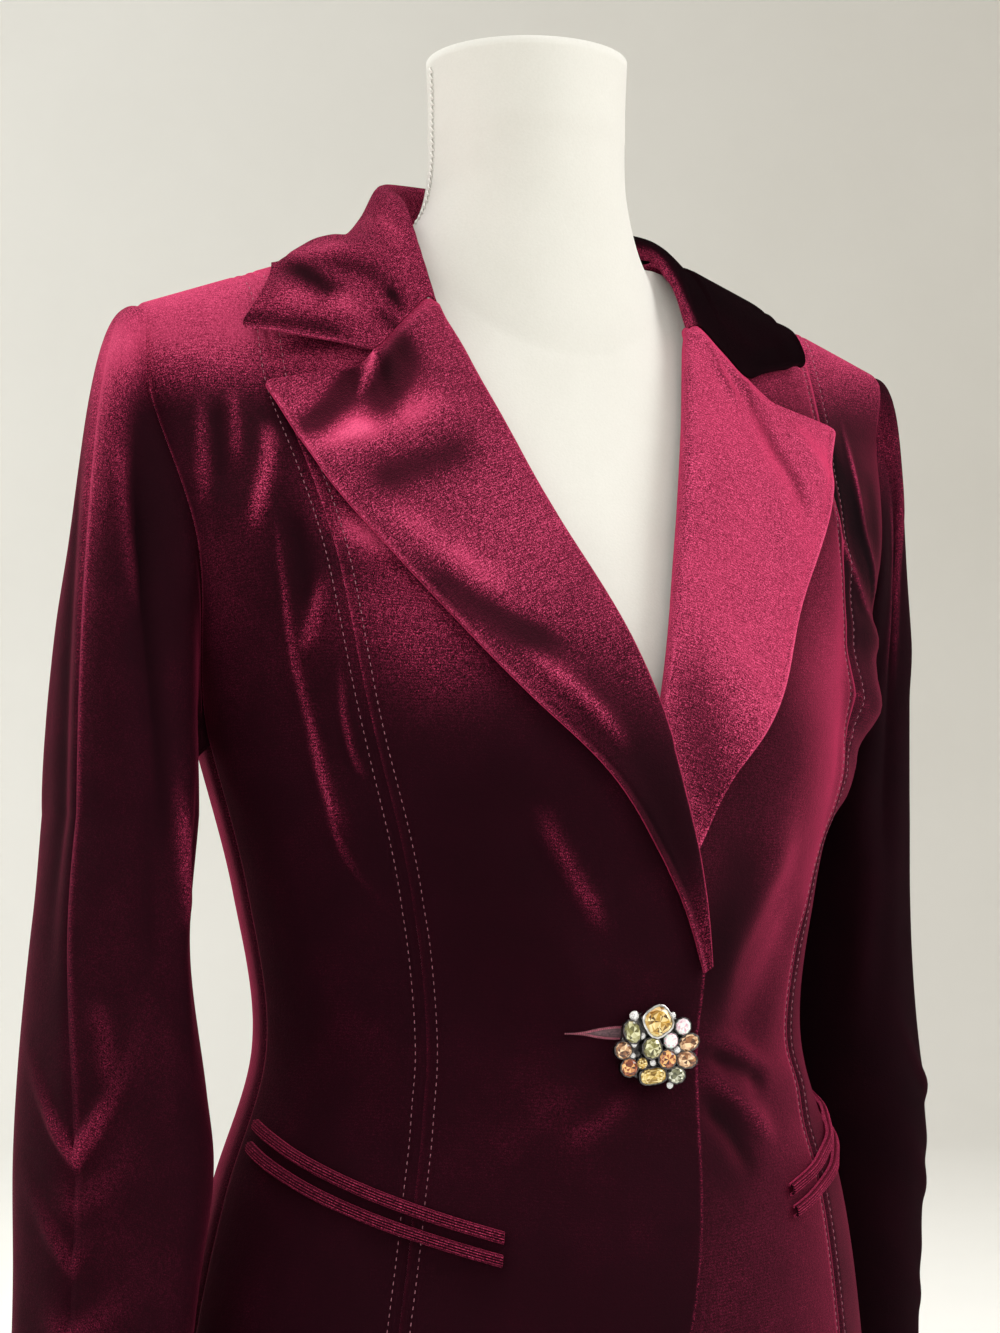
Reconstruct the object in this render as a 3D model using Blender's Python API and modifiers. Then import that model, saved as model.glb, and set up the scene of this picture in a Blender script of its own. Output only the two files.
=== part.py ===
"""A velvet blazer on a limbless dress form.

Metres, +Z up, the front towards -Y and the wearer's left towards +X.
The origin is the middle of the dress form's flat base.
"""

import math
from collections import namedtuple

import bmesh
import bpy
import numpy as np
from mathutils import Matrix, Vector

# Cloth
WALL = 0.002
SEAM_GAP = 0.0003
SEAM_SHARE = 0.55
SEAM_MOST = 0.3
LAYER_GAP = 0.0005

# Figure: sections of the blazer's inner face from the hem up
BodyLevel = namedtuple("BodyLevel", "height depth edge_x edge_y roundness")
FRONT_LEVELS = (
    BodyLevel(0.118, 0.124, 0.164, 0.003, 1.00),
    BodyLevel(0.185, 0.122, 0.160, 0.003, 1.00),
    BodyLevel(0.262, 0.120, 0.1455, 0.000, 1.00),
    BodyLevel(0.322, 0.108, 0.1270, 0.000, 1.00),
    BodyLevel(0.392, 0.110, 0.1355, 0.001, 1.00),
    BodyLevel(0.455, 0.111, 0.152, 0.004, 1.00),
    BodyLevel(0.545, 0.080, 0.173, -0.030, 0.85),
    BodyLevel(0.600, 0.058, 0.186, -0.012, 0.70),
)
BACK_LEVELS = (
    BodyLevel(0.118, 0.122, 0.164, 0.003, 1.00),
    BodyLevel(0.185, 0.119, 0.160, 0.003, 1.00),
    BodyLevel(0.262, 0.100, 0.1455, 0.000, 1.00),
    BodyLevel(0.322, 0.090, 0.1270, 0.000, 1.00),
    BodyLevel(0.392, 0.099, 0.1355, 0.001, 1.00),
    BodyLevel(0.455, 0.110, 0.152, 0.004, 1.00),
    BodyLevel(0.545, 0.112, 0.173, 0.050, 0.85),
    BodyLevel(0.605, 0.096, 0.186, 0.024, 0.70),
)
HEM_HEIGHT = 0.118
CROWN_HEIGHT = 0.665
UNDERARM_HEIGHT = 0.455
NECK_PIT = (0.0, -0.050, 0.630)
NAPE = (0.0, 0.056, 0.692)
NECK_SIDE = (0.066, -0.004, 0.685)
SHOULDER_TIP = (0.190, 0.000, 0.640)
NECK_SHARE = 0.25
NECK_EASE = 0.012
SHOULDER_ROUND = 1.0
ROUND_EASE = 0.06
ROUND_FADE = 0.10
ARMHOLE_FROM_SHARE = 0.6
BUST_X = 0.082
BUST_HEIGHT = 0.458
BUST_RISE = 0.010
BUST_WIDTH = 0.042
BUST_SPAN = 0.050

# Princess seam, as a share of the half front
Mark = namedtuple("Mark", "height value")
PRINCESS = (
    Mark(0.118, 0.490),
    Mark(0.262, 0.482),
    Mark(0.322, 0.492),
    Mark(0.392, 0.504),
    Mark(0.455, 0.532),
    Mark(0.545, 0.552),
    Mark(0.600, 0.596),
    Mark(0.665, 0.715),
)

# Front edge and roll line, as a distance past or short of the centre
FRONT_EDGE = (
    Mark(0.118, 0.026),
    Mark(0.160, 0.008),
    Mark(0.215, -0.008),
    Mark(0.281, -0.016),
    Mark(0.330, -0.020),
    Mark(0.362, -0.020),
    Mark(0.400, -0.015),
    Mark(0.440, -0.006),
    Mark(0.472, 0.003),
    Mark(0.520, 0.021),
    Mark(0.570, 0.0410),
    Mark(0.615, 0.0585),
    Mark(0.647, 0.0676),
    Mark(0.685, 0.0680),
)
# How far the right front stands out where it laps over the left one
LAP_RISE = (
    Mark(0.118, 0.0034),
    Mark(0.325, 0.0036),
    Mark(0.366, 0.0082),
    Mark(0.490, 0.0082),
    Mark(0.575, 0.0000),
    Mark(0.700, 0.0000),
)
LAP_FULL_X = 0.030
LAP_END_X = 0.082

# Lapel: where each row starts on the roll line and ends on the outer edge
LapelRow = namedtuple("LapelRow", "roll_x roll_z edge_x edge_z left_more roll_radius")
LAPEL_ROWS = (
    LapelRow(-0.0200, 0.362, -0.0135, 0.360, 0.008, 0.0013),
    LapelRow(-0.0168, 0.388, -0.0070, 0.386, 0.014, 0.0014),
    LapelRow(-0.0132, 0.411, 0.0050, 0.411, 0.014, 0.0014),
    LapelRow(-0.0067, 0.437, 0.0240, 0.438, 0.010, 0.0014),
    LapelRow(0.0030, 0.472, 0.0580, 0.470, 0.004, 0.0015),
    LapelRow(0.0190, 0.515, 0.0880, 0.512, 0.000, 0.0022),
    LapelRow(0.0388, 0.565, 0.1250, 0.563, 0.000, 0.0026),
    LapelRow(0.0660, 0.646, 0.1450, 0.606, 0.000, 0.0022),
)
LAPEL_STEPS = 3
LAPEL_SHARES = (0.0, 0.14, 0.28, 0.42, 0.56, 0.70, 0.85, 1.0)
ROLL_STEPS = 4
LAPEL_EDGE_LIFT = 0.0012
LAPEL_EASE = 1.6
NOTCH_ROWS = 1.6
NOTCH_SHARE = 0.42
NOTCH_RISE = -0.0140

# Collar: neck seam, roll and outer edge, from the centre back to the front end
CollarRow = namedtuple("CollarRow", "seam roll edge bow sag reach")
COLLAR_ROWS = (
    CollarRow((0.000, 0.0570, 0.6932), (0.000, 0.062, 0.722), (0.000, 0.091, 0.664), 0.000, 0.0, 0.004),
    CollarRow((0.034, 0.0485, 0.6922), (0.034, 0.054, 0.720), (0.056, 0.082, 0.664), -0.002, 0.0, 0.004),
    CollarRow((0.058, 0.0260, 0.6900), (0.056, 0.029, 0.712), (0.100, 0.050, 0.666), -0.004, 0.0, 0.004),
    CollarRow((0.067, -0.0016, 0.6872), (0.064, 0.000, 0.699), (0.1225, 0.006, 0.665), -0.003, 0.0, 0.004),
    CollarRow((0.0665, -0.019, 0.6726), (0.067, -0.018, 0.679), (0.141, -0.025, 0.65), -0.001, 0.007, 0.003),
    CollarRow((0.0658, -0.0352, 0.647), (0.0665, -0.036, 0.6485), (0.149, -0.032, 0.63), 0.0, 0.0195, 0.002),
)
# How much lower the left roll lies, and how much shorter the left fall is, in the same rows
CollarLeft = namedtuple("CollarLeft", "roll_drop edge_in edge_up")
COLLAR_LEFT = (
    CollarLeft(0.000, 0.000, 0.000),
    CollarLeft(0.003, 0.000, 0.000),
    CollarLeft(0.008, 0.000, 0.000),
    CollarLeft(0.006, 0.002, 0.000),
    CollarLeft(0.003, 0.013, 0.005),
    CollarLeft(0.000, 0.015, 0.008),
)
COLLAR_STEPS = 3
COLLAR_STAND_STEPS = 2
COLLAR_FALL_SHARES = (0.0, 0.175, 0.35, 0.51, 0.67, 0.83, 1.0)
COLLAR_NOTCH_SHARE = 0.35
COLLAR_ROLL_RISE = 0.0012
COLLAR_SAG_FORWARD = 0.45
COLLAR_BOW_POWER = 0.65
COLLAR_LIFT = 0.0032
YOKE_FROM = 0.560

# Sleeve rings below the armhole
SleeveRing = namedtuple("SleeveRing", "height out right_more half_across half_along")
SLEEVE_RINGS = (
    SleeveRing(0.425, 0.1820, 0.0080, 0.0270, 0.048),
    SleeveRing(0.370, 0.1825, 0.0140, 0.0285, 0.049),
    SleeveRing(0.310, 0.1850, 0.0115, 0.0350, 0.053),
    SleeveRing(0.285, 0.1880, 0.0080, 0.0370, 0.055),
    SleeveRing(0.230, 0.1960, 0.0040, 0.0340, 0.050),
    SleeveRing(0.165, 0.2030, 0.0030, 0.0310, 0.045),
)
CAP_REACH = 0.24
CAP_LEAD = 0.006
CAP_ARRIVE = 1.1
CAP_ROW_SPREAD = 1.25
# Which way the cap leaves the armhole at the shoulder, and what is added at its sides and underarm
CAP_WAY_TOP = (0.95, 0.0, 0.22)
CAP_WAY_SIDE = (-0.20, 0.18, -0.75)
CAP_WAY_UNDER = (0.0, 0.0, -0.10)
CAP_UNDER_FROM = 100.0
# How far each sleeve hangs behind the middle at its biceps and at its cuff
SleeveHang = namedtuple("SleeveHang", "biceps_back cuff_back")
SLEEVE_HANG = {"right": SleeveHang(0.011, -0.006), "left": SleeveHang(0.024, 0.040)}
UNDERARM_TURN = 12.0
SEAM_TURN_TOP = 28.0
SEAM_TURN_LOW = 42.0
SEAM_TURN_FROM = 0.430
SEAM_TURN_SPAN = 0.140
OVERARM_GAPS = 0.6
UNDERARM_GAPS = 3.5
SLEEVE_CAP_ROWS = 8
SLEEVE_COLUMNS = 8
SLEEVE_ROW_PITCH = 0.0225
SEAM_RIDGE = 0.0025
SEAM_RIDGE_TURN = 14.0
GATHER_TOP = 0.288
GATHER_START = 0.006
GATHER_PITCH = 0.0245
GATHER_ROWS = 4
GATHER_RISE = 0.0030
GATHER_TURN = 55.0
GATHER_SLANT = 0.00022
# Long folds of each sleeve half: angle from the overarm seam, top to bottom
SleeveFold = namedtuple("SleeveFold", "top_turn top_z low_turn low_z rise width")
SLEEVE_FOLDS = {
    "front": (
        SleeveFold(46.0, 0.585, 72.0, 0.380, -0.0050, 17.0),
        SleeveFold(16.0, 0.560, 12.0, 0.300, 0.0025, 15.0),
        SleeveFold(102.0, 0.470, 90.0, 0.300, 0.0030, 16.0),
    ),
    "back": (
        SleeveFold(74.0, 0.560, 108.0, 0.360, -0.0045, 18.0),
        SleeveFold(136.0, 0.450, 152.0, 0.290, 0.0030, 17.0),
    ),
}
ARMHOLE_GAP = 0.0006
ARMHOLE_SIDE_GAP = 0.0022
UNDERARM_GAP = 0.0028

# Long folds of the fronts: from one point to another in the front view
FrontFold = namedtuple("FrontFold", "top_x top_z low_x low_z rise width")
FOLD_FROM_X = 0.020
FOLD_FADE = 0.022
FOLD_TO_SHARE = 0.82
FRONT_FOLDS = (
    FrontFold(0.146, 0.580, 0.122, 0.420, -0.0030, 0.012),
    FrontFold(0.078, 0.430, 0.020, 0.335, 0.0030, 0.013),
    FrontFold(0.094, 0.390, 0.040, 0.318, -0.0025, 0.012),
    FrontFold(0.110, 0.300, 0.030, 0.322, 0.0025, 0.012),
)

# Rows and columns of the body panels
LOWER_ROWS = 14
UPPER_ROWS = 10
FRONT_COLUMNS = 8
SIDE_COLUMNS = 6
BACK_NECK_COLUMNS = 4
BACK_COLUMNS = 6
COLUMN_SPREAD = 1.5

# Pocket welts, each end of the mouth as a share of the half front and a height
POCKET_SIDE_SHARE = 0.93
POCKET_SIDE_Z = {"right": 0.2880, "left": 0.2960}
POCKET_FRONT_SHARE = 0.31
POCKET_FRONT_Z = {"right": 0.2500, "left": 0.2600}
POCKET_MOUTH = 0.0040
WELT_WIDTH = 0.0050
WELT_RISE = 0.0010
WELT_STEPS = 12
WELT_CLEAR = 0.0009

# Jewelled button
BUTTON_X = -0.004
BUTTON_Z = 0.329
MOUNT_RADIUS = 0.0150
MOUNT_DEPTH = 0.0020
MOUNT_CLEAR = 0.0022
MOUNT_TAPER = 0.9
MOUNT_SEGMENTS = 20
STONE_SEGMENTS = 8
STONE_TABLE = 0.6
STONE_DEPTH = 0.42
Stone = namedtuple("Stone", "name x z width height turn colour")
STONES = (
    Stone("stone_gold_square", -0.0002, 0.0108, 0.0120, 0.0120, 38, "gold"),
    Stone("stone_olive_oval", -0.0112, 0.0066, 0.0066, 0.0086, 20, "olive"),
    Stone("stone_pearl_upper", 0.0116, 0.0083, 0.0064, 0.0064, 0, "pearl"),
    Stone("stone_pearl_inner", 0.0056, 0.0025, 0.0060, 0.0060, 0, "pearl"),
    Stone("stone_olive_round", -0.0030, -0.0004, 0.0078, 0.0078, 0, "olive"),
    Stone("stone_peach_left", -0.0150, -0.0010, 0.0066, 0.0066, 0, "peach"),
    Stone("stone_peach_upper", 0.0142, 0.0014, 0.0082, 0.0060, 18, "peach"),
    Stone("stone_peach_lower", 0.0130, -0.0057, 0.0086, 0.0062, -10, "peach"),
    Stone("stone_amber_round", 0.0040, -0.0052, 0.0070, 0.0070, 0, "amber"),
    Stone("stone_amber_left", -0.0124, -0.0083, 0.0068, 0.0068, 0, "amber"),
    Stone("stone_yellow_small", -0.0068, -0.0067, 0.0040, 0.0040, 0, "yellow"),
    Stone("stone_yellow_long", -0.0020, -0.0122, 0.0110, 0.0060, 6, "yellow"),
    Stone("stone_olive_grey", 0.0086, -0.0122, 0.0070, 0.0060, 0, "olive"),
    Stone("stone_clear_upper", -0.0098, 0.0132, 0.0036, 0.0036, 0, "clear"),
    Stone("stone_clear_right", 0.0074, 0.0130, 0.0022, 0.0022, 0, "clear"),
    Stone("stone_clear_inner", -0.0066, 0.0047, 0.0024, 0.0024, 0, "clear"),
    Stone("stone_clear_middle", 0.0090, -0.0016, 0.0024, 0.0024, 0, "clear"),
    Stone("stone_clear_low", 0.0063, -0.0165, 0.0022, 0.0022, 0, "clear"),
)
STONE_COLOURS = {
    "gold": (0.80, 0.50, 0.10),
    "olive": (0.32, 0.30, 0.10),
    "pearl": (0.85, 0.75, 0.78),
    "peach": (0.85, 0.45, 0.22),
    "amber": (0.70, 0.22, 0.05),
    "yellow": (0.80, 0.58, 0.12),
    "clear": (0.85, 0.86, 0.88),
}

# Dress form
FormLevel = namedtuple("FormLevel", "height front back edge_x")
FORM_FOOT = (FormLevel(0.0, 0.098, 0.104, 0.142), FormLevel(0.060, 0.104, 0.112, 0.150))
FORM_FOOT_Y = 0.006
FORM_EASE = (0.010, 0.010, 0.009, 0.010, 0.009, 0.006, 0.006, 0.005)
FORM_DROP = 0.0009
FORM_NECK_INSET = 0.004
NeckRing = namedtuple("NeckRing", "height half_x half_y middle_y")
NECK_RINGS = (
    NeckRing(0.700, 0.0500, 0.0480, 0.003),
    NeckRing(0.716, 0.0465, 0.0460, 0.001),
    NeckRing(0.745, 0.0455, 0.0455, 0.000),
    NeckRing(0.772, 0.0465, 0.0465, 0.000),
)
NECK_MARGIN = 0.010
FORM_NECK_COLUMNS = 5
FORM_COLUMNS = 8
FORM_LOWER_ROWS = 12
FORM_UPPER_ROWS = 9

# Colours
WINE = (0.16, 0.010, 0.035)
WINE_DARK = (0.11, 0.007, 0.024)
CREAM = (0.82, 0.80, 0.74)
GUNMETAL = (0.10, 0.09, 0.09)

FRONT = -1.0
BACK = 1.0
SIDES = {"right": -1.0, "left": 1.0}


def smooth(value):
    """A soft step from 0 to 1."""
    value = np.clip(value, 0.0, 1.0)
    return value * value * (3.0 - 2.0 * value)


def spline(knots, values, at):
    """A smooth curve through values at knots; values may hold a column for each place asked for."""
    knots = np.asarray(knots, float)
    values = np.asarray(values, float)
    step = np.diff(knots)
    shape = (-1,) + (1,) * (values.ndim - 1)
    slope = np.diff(values, axis=0) / step.reshape(shape)
    before = step[:-1].reshape(shape)
    after = step[1:].reshape(shape)
    tangent = np.empty_like(values)
    tangent[0] = slope[0]
    tangent[-1] = slope[-1]
    tangent[1:-1] = (slope[1:] * before + slope[:-1] * after) / (before + after)
    return hermite(knots, values, tangent, at)


def hermite(knots, values, tangent, at):
    at = np.clip(np.asarray(at, float), knots[0], knots[-1])
    low = np.clip(np.searchsorted(knots, at, side="right") - 1, 0, len(knots) - 2)
    step = knots[low + 1] - knots[low]
    t = (at - knots[low]) / step
    if values.ndim > 1:
        column = np.arange(values.shape[1])
        first, last = values[low, column], values[low + 1, column]
        leave, arrive = tangent[low, column], tangent[low + 1, column]
        t = t[:, None]
        step = step[:, None]
    else:
        first, last = values[low], values[low + 1]
        leave, arrive = tangent[low], tangent[low + 1]
    return (
        first * (1 + 2 * t) * (1 - t) ** 2
        + leave * step * t * (1 - t) ** 2
        + last * t * t * (3 - 2 * t)
        + arrive * step * t * t * (t - 1)
    )


def along(marks, at):
    return spline([m.height for m in marks], [m.value for m in marks], at)


class Figure:
    """A smooth body surface. A place on it is a share of the half width and a height."""

    def __init__(self, front, back, drop, neck_inset, round_from):
        self.levels = {FRONT: front, BACK: back}
        self.drop = drop
        self.neck_inset = neck_inset
        self.round_from = round_from

    def crown(self, share, facing):
        """The top row: round the neck, then along the shoulder seam."""
        middle = np.array(NECK_PIT if facing == FRONT else NAPE)
        middle[1] -= facing * self.neck_inset
        side = np.array(NECK_SIDE) - np.array([self.neck_inset, 0.0, 0.0])
        tip = np.array(SHOULDER_TIP)
        turn = np.clip(share / NECK_SHARE, 0, 1) * math.pi / 2
        out = np.clip((share - NECK_SHARE) / (1 - NECK_SHARE), 0, 1)[:, None]
        sine, cosine = np.sin(turn)[:, None], np.cos(turn)[:, None]
        neck = np.concatenate([side[:1] * sine, side[1:] + (middle - side)[1:] * cosine], axis=1)
        points = neck + (tip - side) * out
        points[:, 2] -= self.drop
        return points

    def point(self, share, height, facing):
        share = np.asarray(share, float).ravel()
        height = np.asarray(height, float).ravel()
        sign = np.where(share < 0, -1.0, 1.0)
        share = np.abs(share)
        rows = []
        for level in self.levels[facing]:
            turn = share * math.pi / 2
            r = level.roundness
            across = r * np.sin(turn) + (1 - r) * share
            inward = r * np.cos(turn) + (1 - r) * (1 - share)
            y = level.edge_y + (facing * level.depth - level.edge_y) * inward
            rows.append(np.stack([level.edge_x * across, y, np.full_like(y, level.height)], axis=1))
        rows.append(self.crown(share, facing))
        rows = np.stack(rows)
        knots = np.array([level.height for level in self.levels[facing]] + [CROWN_HEIGHT])
        step = np.diff(knots)[:, None, None]
        slope = np.diff(rows, axis=0) / step
        tangent = np.empty_like(rows)
        tangent[0] = slope[0]
        tangent[1:-1] = (slope[1:] * step[:-1] + slope[:-1] * step[1:]) / (step[1:] + step[:-1])
        armhole = smooth((share - ARMHOLE_FROM_SHARE) / (1 - ARMHOLE_FROM_SHARE))[:, None]
        foot = [level.height for level in self.levels[facing]].index(UNDERARM_HEIGHT)
        tangent[foot] += (slope[foot - 1] - tangent[foot]) * armhole
        over = smooth((share - self.round_from) / ROUND_FADE)[:, None]
        round_over = np.array([0.0, -facing * SHOULDER_ROUND, 0.0])
        tangent[-1] = slope[-1] * (1 - over) + round_over * over
        points = hermite(knots, rows, tangent, height)
        if facing == FRONT:
            near = ((points[:, 0] - BUST_X) / BUST_WIDTH) ** 2
            near += ((points[:, 2] - BUST_HEIGHT) / BUST_SPAN) ** 2
            points[:, 1] -= BUST_RISE * np.exp(-near)
        points[:, 0] *= sign
        return points

    def normal(self, share, height, facing):
        step = 1e-3
        share = np.asarray(share, float).ravel()
        height = np.asarray(height, float).ravel()
        low = np.minimum(height, CROWN_HEIGHT - step)
        across = self.point(share + step, height, facing) - self.point(share - step, height, facing)
        up = self.point(share, low + step, facing) - self.point(share, low - step, facing)
        normal = np.cross(across, up) * -facing
        return normal / np.linalg.norm(normal, axis=1)[:, None]

    def lifted(self, share, height, facing, lift):
        lift = np.broadcast_to(np.asarray(lift, float).ravel(), np.shape(np.ravel(share)))
        return self.point(share, height, facing) + self.normal(share, height, facing) * lift[:, None]

    def seen_from_front(self, x, z):
        """The share and height of the points that the front view shows at x and z."""
        x = np.asarray(x, float).ravel()
        z = np.asarray(z, float).ravel()
        share = x / SHOULDER_TIP[0]
        height = np.clip(z, HEM_HEIGHT, CROWN_HEIGHT)
        step = 1e-4
        for _ in range(30):
            here = self.point(share, height, FRONT)
            by_share = (self.point(share + step, height, FRONT) - here) / step
            by_height = (here - self.point(share, height - step, FRONT)) / step
            miss_x = x - here[:, 0]
            miss_z = z - here[:, 2]
            area = by_share[:, 0] * by_height[:, 2] - by_height[:, 0] * by_share[:, 2]
            area = np.where(np.abs(area) < 1e-4, 1e-4, area)
            move_share = (miss_x * by_height[:, 2] - by_height[:, 0] * miss_z) / area
            move_height = (by_share[:, 0] * miss_z - miss_x * by_share[:, 2]) / area
            share = np.clip(share + np.clip(move_share, -0.1, 0.1), -0.99, 0.99)
            height = np.clip(height + np.clip(move_height, -0.02, 0.02), HEM_HEIGHT, CROWN_HEIGHT)
        return share, height


BLAZER = Figure(FRONT_LEVELS, BACK_LEVELS, 0.0, 0.0, NECK_SHARE - ROUND_EASE)


def eased(levels, facing):
    """Sections of the dress form: its foot, then the blazer's sections made smaller."""
    foot = [
        BodyLevel(f.height, f.front if facing == FRONT else f.back, f.edge_x, FORM_FOOT_Y, 1.0)
        for f in FORM_FOOT
    ]
    body = []
    for level, ease in zip(levels, FORM_EASE):
        body.append(level._replace(depth=level.depth - ease, edge_x=level.edge_x - ease))
    return tuple(foot + body)


def make_material(name, colour, roughness, metallic):
    material = bpy.data.materials.new(name)
    material.use_nodes = True
    shader = material.node_tree.nodes["Principled BSDF"]
    shader.inputs["Base Color"].default_value = (*colour, 1.0)
    shader.inputs["Roughness"].default_value = roughness
    shader.inputs["Metallic"].default_value = metallic
    material.diffuse_color = (*colour, 1.0)
    return material


def add_object(name, bm, material):
    mesh = bpy.data.meshes.new(name)
    bm.to_mesh(mesh)
    bm.free()
    obj = bpy.data.objects.new(name, mesh)
    obj.data.materials.append(material)
    PARTS.objects.link(obj)
    return obj


def drawn_in(grid):
    """The sheet with each of its edges drawn in by half a seam gap."""
    grid = grid.copy()
    for edge, inner in ((0, 1), (-1, -2)):
        for lines in (grid, grid.swapaxes(0, 1)):
            way = lines[inner] - lines[edge]
            length = np.linalg.norm(way, axis=1)[:, None]
            lines[edge] += way / length * np.minimum(SEAM_GAP * SEAM_SHARE, length * SEAM_MOST)
    return grid


def sheet(name, grid, outward, material, wall=WALL):
    """A cloth wall: a grid of points, thickened outwards. outward gives the way out at a point."""
    rows, columns = grid.shape[:2]
    bm = bmesh.new()
    bmesh.ops.create_grid(bm, x_segments=columns - 1, y_segments=rows - 1, size=1.0)
    bm.verts.ensure_lookup_table()
    for vert, place in zip(bm.verts, grid.reshape(-1, 3)):
        vert.co = place
    bm.normal_update()
    facing = sum(f.normal.dot(outward(f.calc_center_median())) * f.calc_area() for f in bm.faces)
    if facing < 0:
        bmesh.ops.reverse_faces(bm, faces=bm.faces)
    obj = add_object(name, bm, material)
    solidify = obj.modifiers.new("wall", "SOLIDIFY")
    solidify.thickness = wall
    solidify.offset = 1.0
    solidify.use_even_offset = True
    solidify.use_quality_normals = True
    return obj


def from_axis(place):
    return Vector((place.x, place.y, 0.0))


def lap_rise(x, z):
    """How far the right front stands out at a place, for the left front and lapel under it."""
    share = smooth((LAP_END_X - np.asarray(x)) / (LAP_END_X - LAP_FULL_X))
    heights = [mark.height for mark in LAP_RISE]
    values = np.array([mark.value for mark in LAP_RISE])
    place = np.interp(z, heights, np.arange(len(heights)))
    low = np.minimum(place.astype(int), len(heights) - 2)
    return (values[low] + (values[low + 1] - values[low]) * smooth(place - low)) * share


def fold_rise(x, z):
    """The long folds of a front, each soft across and fading to its ends."""
    rise = np.zeros_like(x)
    for fold in FRONT_FOLDS:
        way = np.array([fold.low_x - fold.top_x, fold.low_z - fold.top_z])
        length = np.hypot(*way)
        way /= length
        on = (x - fold.top_x) * way[0] + (z - fold.top_z) * way[1]
        off = (x - fold.top_x) * way[1] - (z - fold.top_z) * way[0]
        fade = np.exp(-((off / fold.width) ** 2))
        rise += fold.rise * fade * smooth(on / length * 4) * smooth((1 - on / length) * 4)
    return rise * smooth((x - FOLD_FROM_X) / FOLD_FADE)


def body_heights():
    lower = np.linspace(HEM_HEIGHT, UNDERARM_HEIGHT, LOWER_ROWS)
    turn = np.linspace(0, math.pi / 2, UPPER_ROWS + 1)[1:]
    upper = UNDERARM_HEIGHT + (CROWN_HEIGHT - UNDERARM_HEIGHT) * np.sin(turn)
    return np.concatenate([lower, upper])


def neck_and_shoulder(neck_columns, columns):
    """Shares from the middle to the side, close together below the neck."""
    neck = np.linspace(0.0, NECK_SHARE, neck_columns + 1)
    out = np.linspace(0.0, 1.0, columns + 1)[1:] ** COLUMN_SPREAD
    return np.concatenate([neck, NECK_SHARE + (1.0 - NECK_SHARE) * out])


def edge_share(heights):
    """The share of the half front at which the front edge or the roll line lies in each row."""
    share = np.zeros_like(heights)
    step = 1e-4
    for _ in range(40):
        here = BLAZER.point(share, heights, FRONT)
        by_share = (BLAZER.point(share + step, heights, FRONT)[:, 0] - here[:, 0]) / step
        miss = along(FRONT_EDGE, here[:, 2]) - here[:, 0]
        share = np.clip(share + miss / np.maximum(by_share, 0.05) * 0.7, -0.3, NECK_SHARE + NECK_EASE)
    share[-1] = NECK_SHARE + NECK_EASE
    return share


def panel_grid(start, end, heights, across, facing, side, lap):
    """Points of a panel between two seams, each seam given as a share for each row."""
    share = start[:, None] + (end - start)[:, None] * across
    height = np.repeat(heights[:, None], len(across), axis=1)
    flat = BLAZER.point(share, height, facing)
    lift = np.zeros(len(flat))
    if facing == FRONT:
        lift = fold_rise(flat[:, 0], flat[:, 2])
        lift *= 1 - smooth((share.ravel() - FOLD_TO_SHARE) / (1 - FOLD_TO_SHARE))
    if lap:
        lift = lift + lap_rise(flat[:, 0], flat[:, 2])
    points = BLAZER.lifted(share, height, facing, lift)
    points[:, 0] *= side
    return drawn_in(points.reshape(len(heights), len(across), 3))


def make_body(side_name, material):
    side = SIDES[side_name]
    heights = body_heights()
    princess = along(PRINCESS, heights)
    ones = np.ones_like(heights)
    lap = side_name == "right"
    across = np.linspace(0.0, 1.0, FRONT_COLUMNS + 1)
    front = panel_grid(edge_share(heights), princess, heights, across, FRONT, side, lap)
    sheet("front_" + side_name, front, from_axis, material)
    across = np.linspace(0.0, 1.0, SIDE_COLUMNS + 1)
    flank = panel_grid(princess, ones, heights, across, FRONT, side, lap)
    sheet("side_front_" + side_name, flank, from_axis, material)
    across = neck_and_shoulder(BACK_NECK_COLUMNS, BACK_COLUMNS)
    back = panel_grid(ones * 0, ones, heights, across, BACK, side, False)
    sheet("back_" + side_name, back, from_axis, material)


def lapel_grid(side_name):
    """Rows up the roll line; each goes round the roll, then out over the front to the edge."""
    count = (len(LAPEL_ROWS) - 1) * LAPEL_STEPS + 1
    knots = np.arange(len(LAPEL_ROWS), dtype=float)
    rows = np.linspace(0, knots[-1], count)
    table = np.array(LAPEL_ROWS)
    roll_x, roll_z, edge_x, edge_z, more, radius = (spline(knots, line, rows) for line in table.T)
    if side_name == "left":
        edge_x = edge_x + more
    across = np.array(LAPEL_SHARES)
    x = roll_x[:, None] + (edge_x - roll_x)[:, None] * across
    z = roll_z[:, None] + (edge_z - roll_z)[:, None] * across
    top = smooth((rows - knots[-1] + NOTCH_ROWS) / NOTCH_ROWS)[:, None]
    notch = np.interp(across, [0, NOTCH_SHARE, 1], [0, 1, 0])
    z = z + NOTCH_RISE * top * notch
    share, height = BLAZER.seen_from_front(x, z)
    flat = BLAZER.point(share, height, FRONT)
    normal = BLAZER.normal(share, height, FRONT)
    under = fold_rise(flat[:, 0], flat[:, 2])
    if side_name == "right":
        under = under + lap_rise(flat[:, 0], flat[:, 2])
    base = (flat + normal * under[:, None]).reshape(count, -1, 3)
    normal = normal.reshape(count, -1, 3)
    top_lift = WALL + 2 * radius
    low_lift = WALL + LAPEL_EDGE_LIFT
    ease = smooth(across * LAPEL_EASE)
    lift = top_lift[:, None] + (low_lift - top_lift)[:, None] * ease
    leaf = base + normal * lift[..., None]
    roll = []
    for step in range(ROLL_STEPS):
        turn = math.pi * step / ROLL_STEPS
        away = base[:, 0] - base[:, 1]
        away /= np.linalg.norm(away, axis=1)[:, None]
        rise = WALL + radius * (1 - math.cos(turn))
        reach = radius * math.sin(turn) + SEAM_GAP
        roll.append(base[:, 0] + normal[:, 0] * rise[:, None] + away * reach[:, None])
    points = np.concatenate([np.stack(roll, axis=1), leaf], axis=1)
    points[..., 0] *= SIDES[side_name]
    return points


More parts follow.
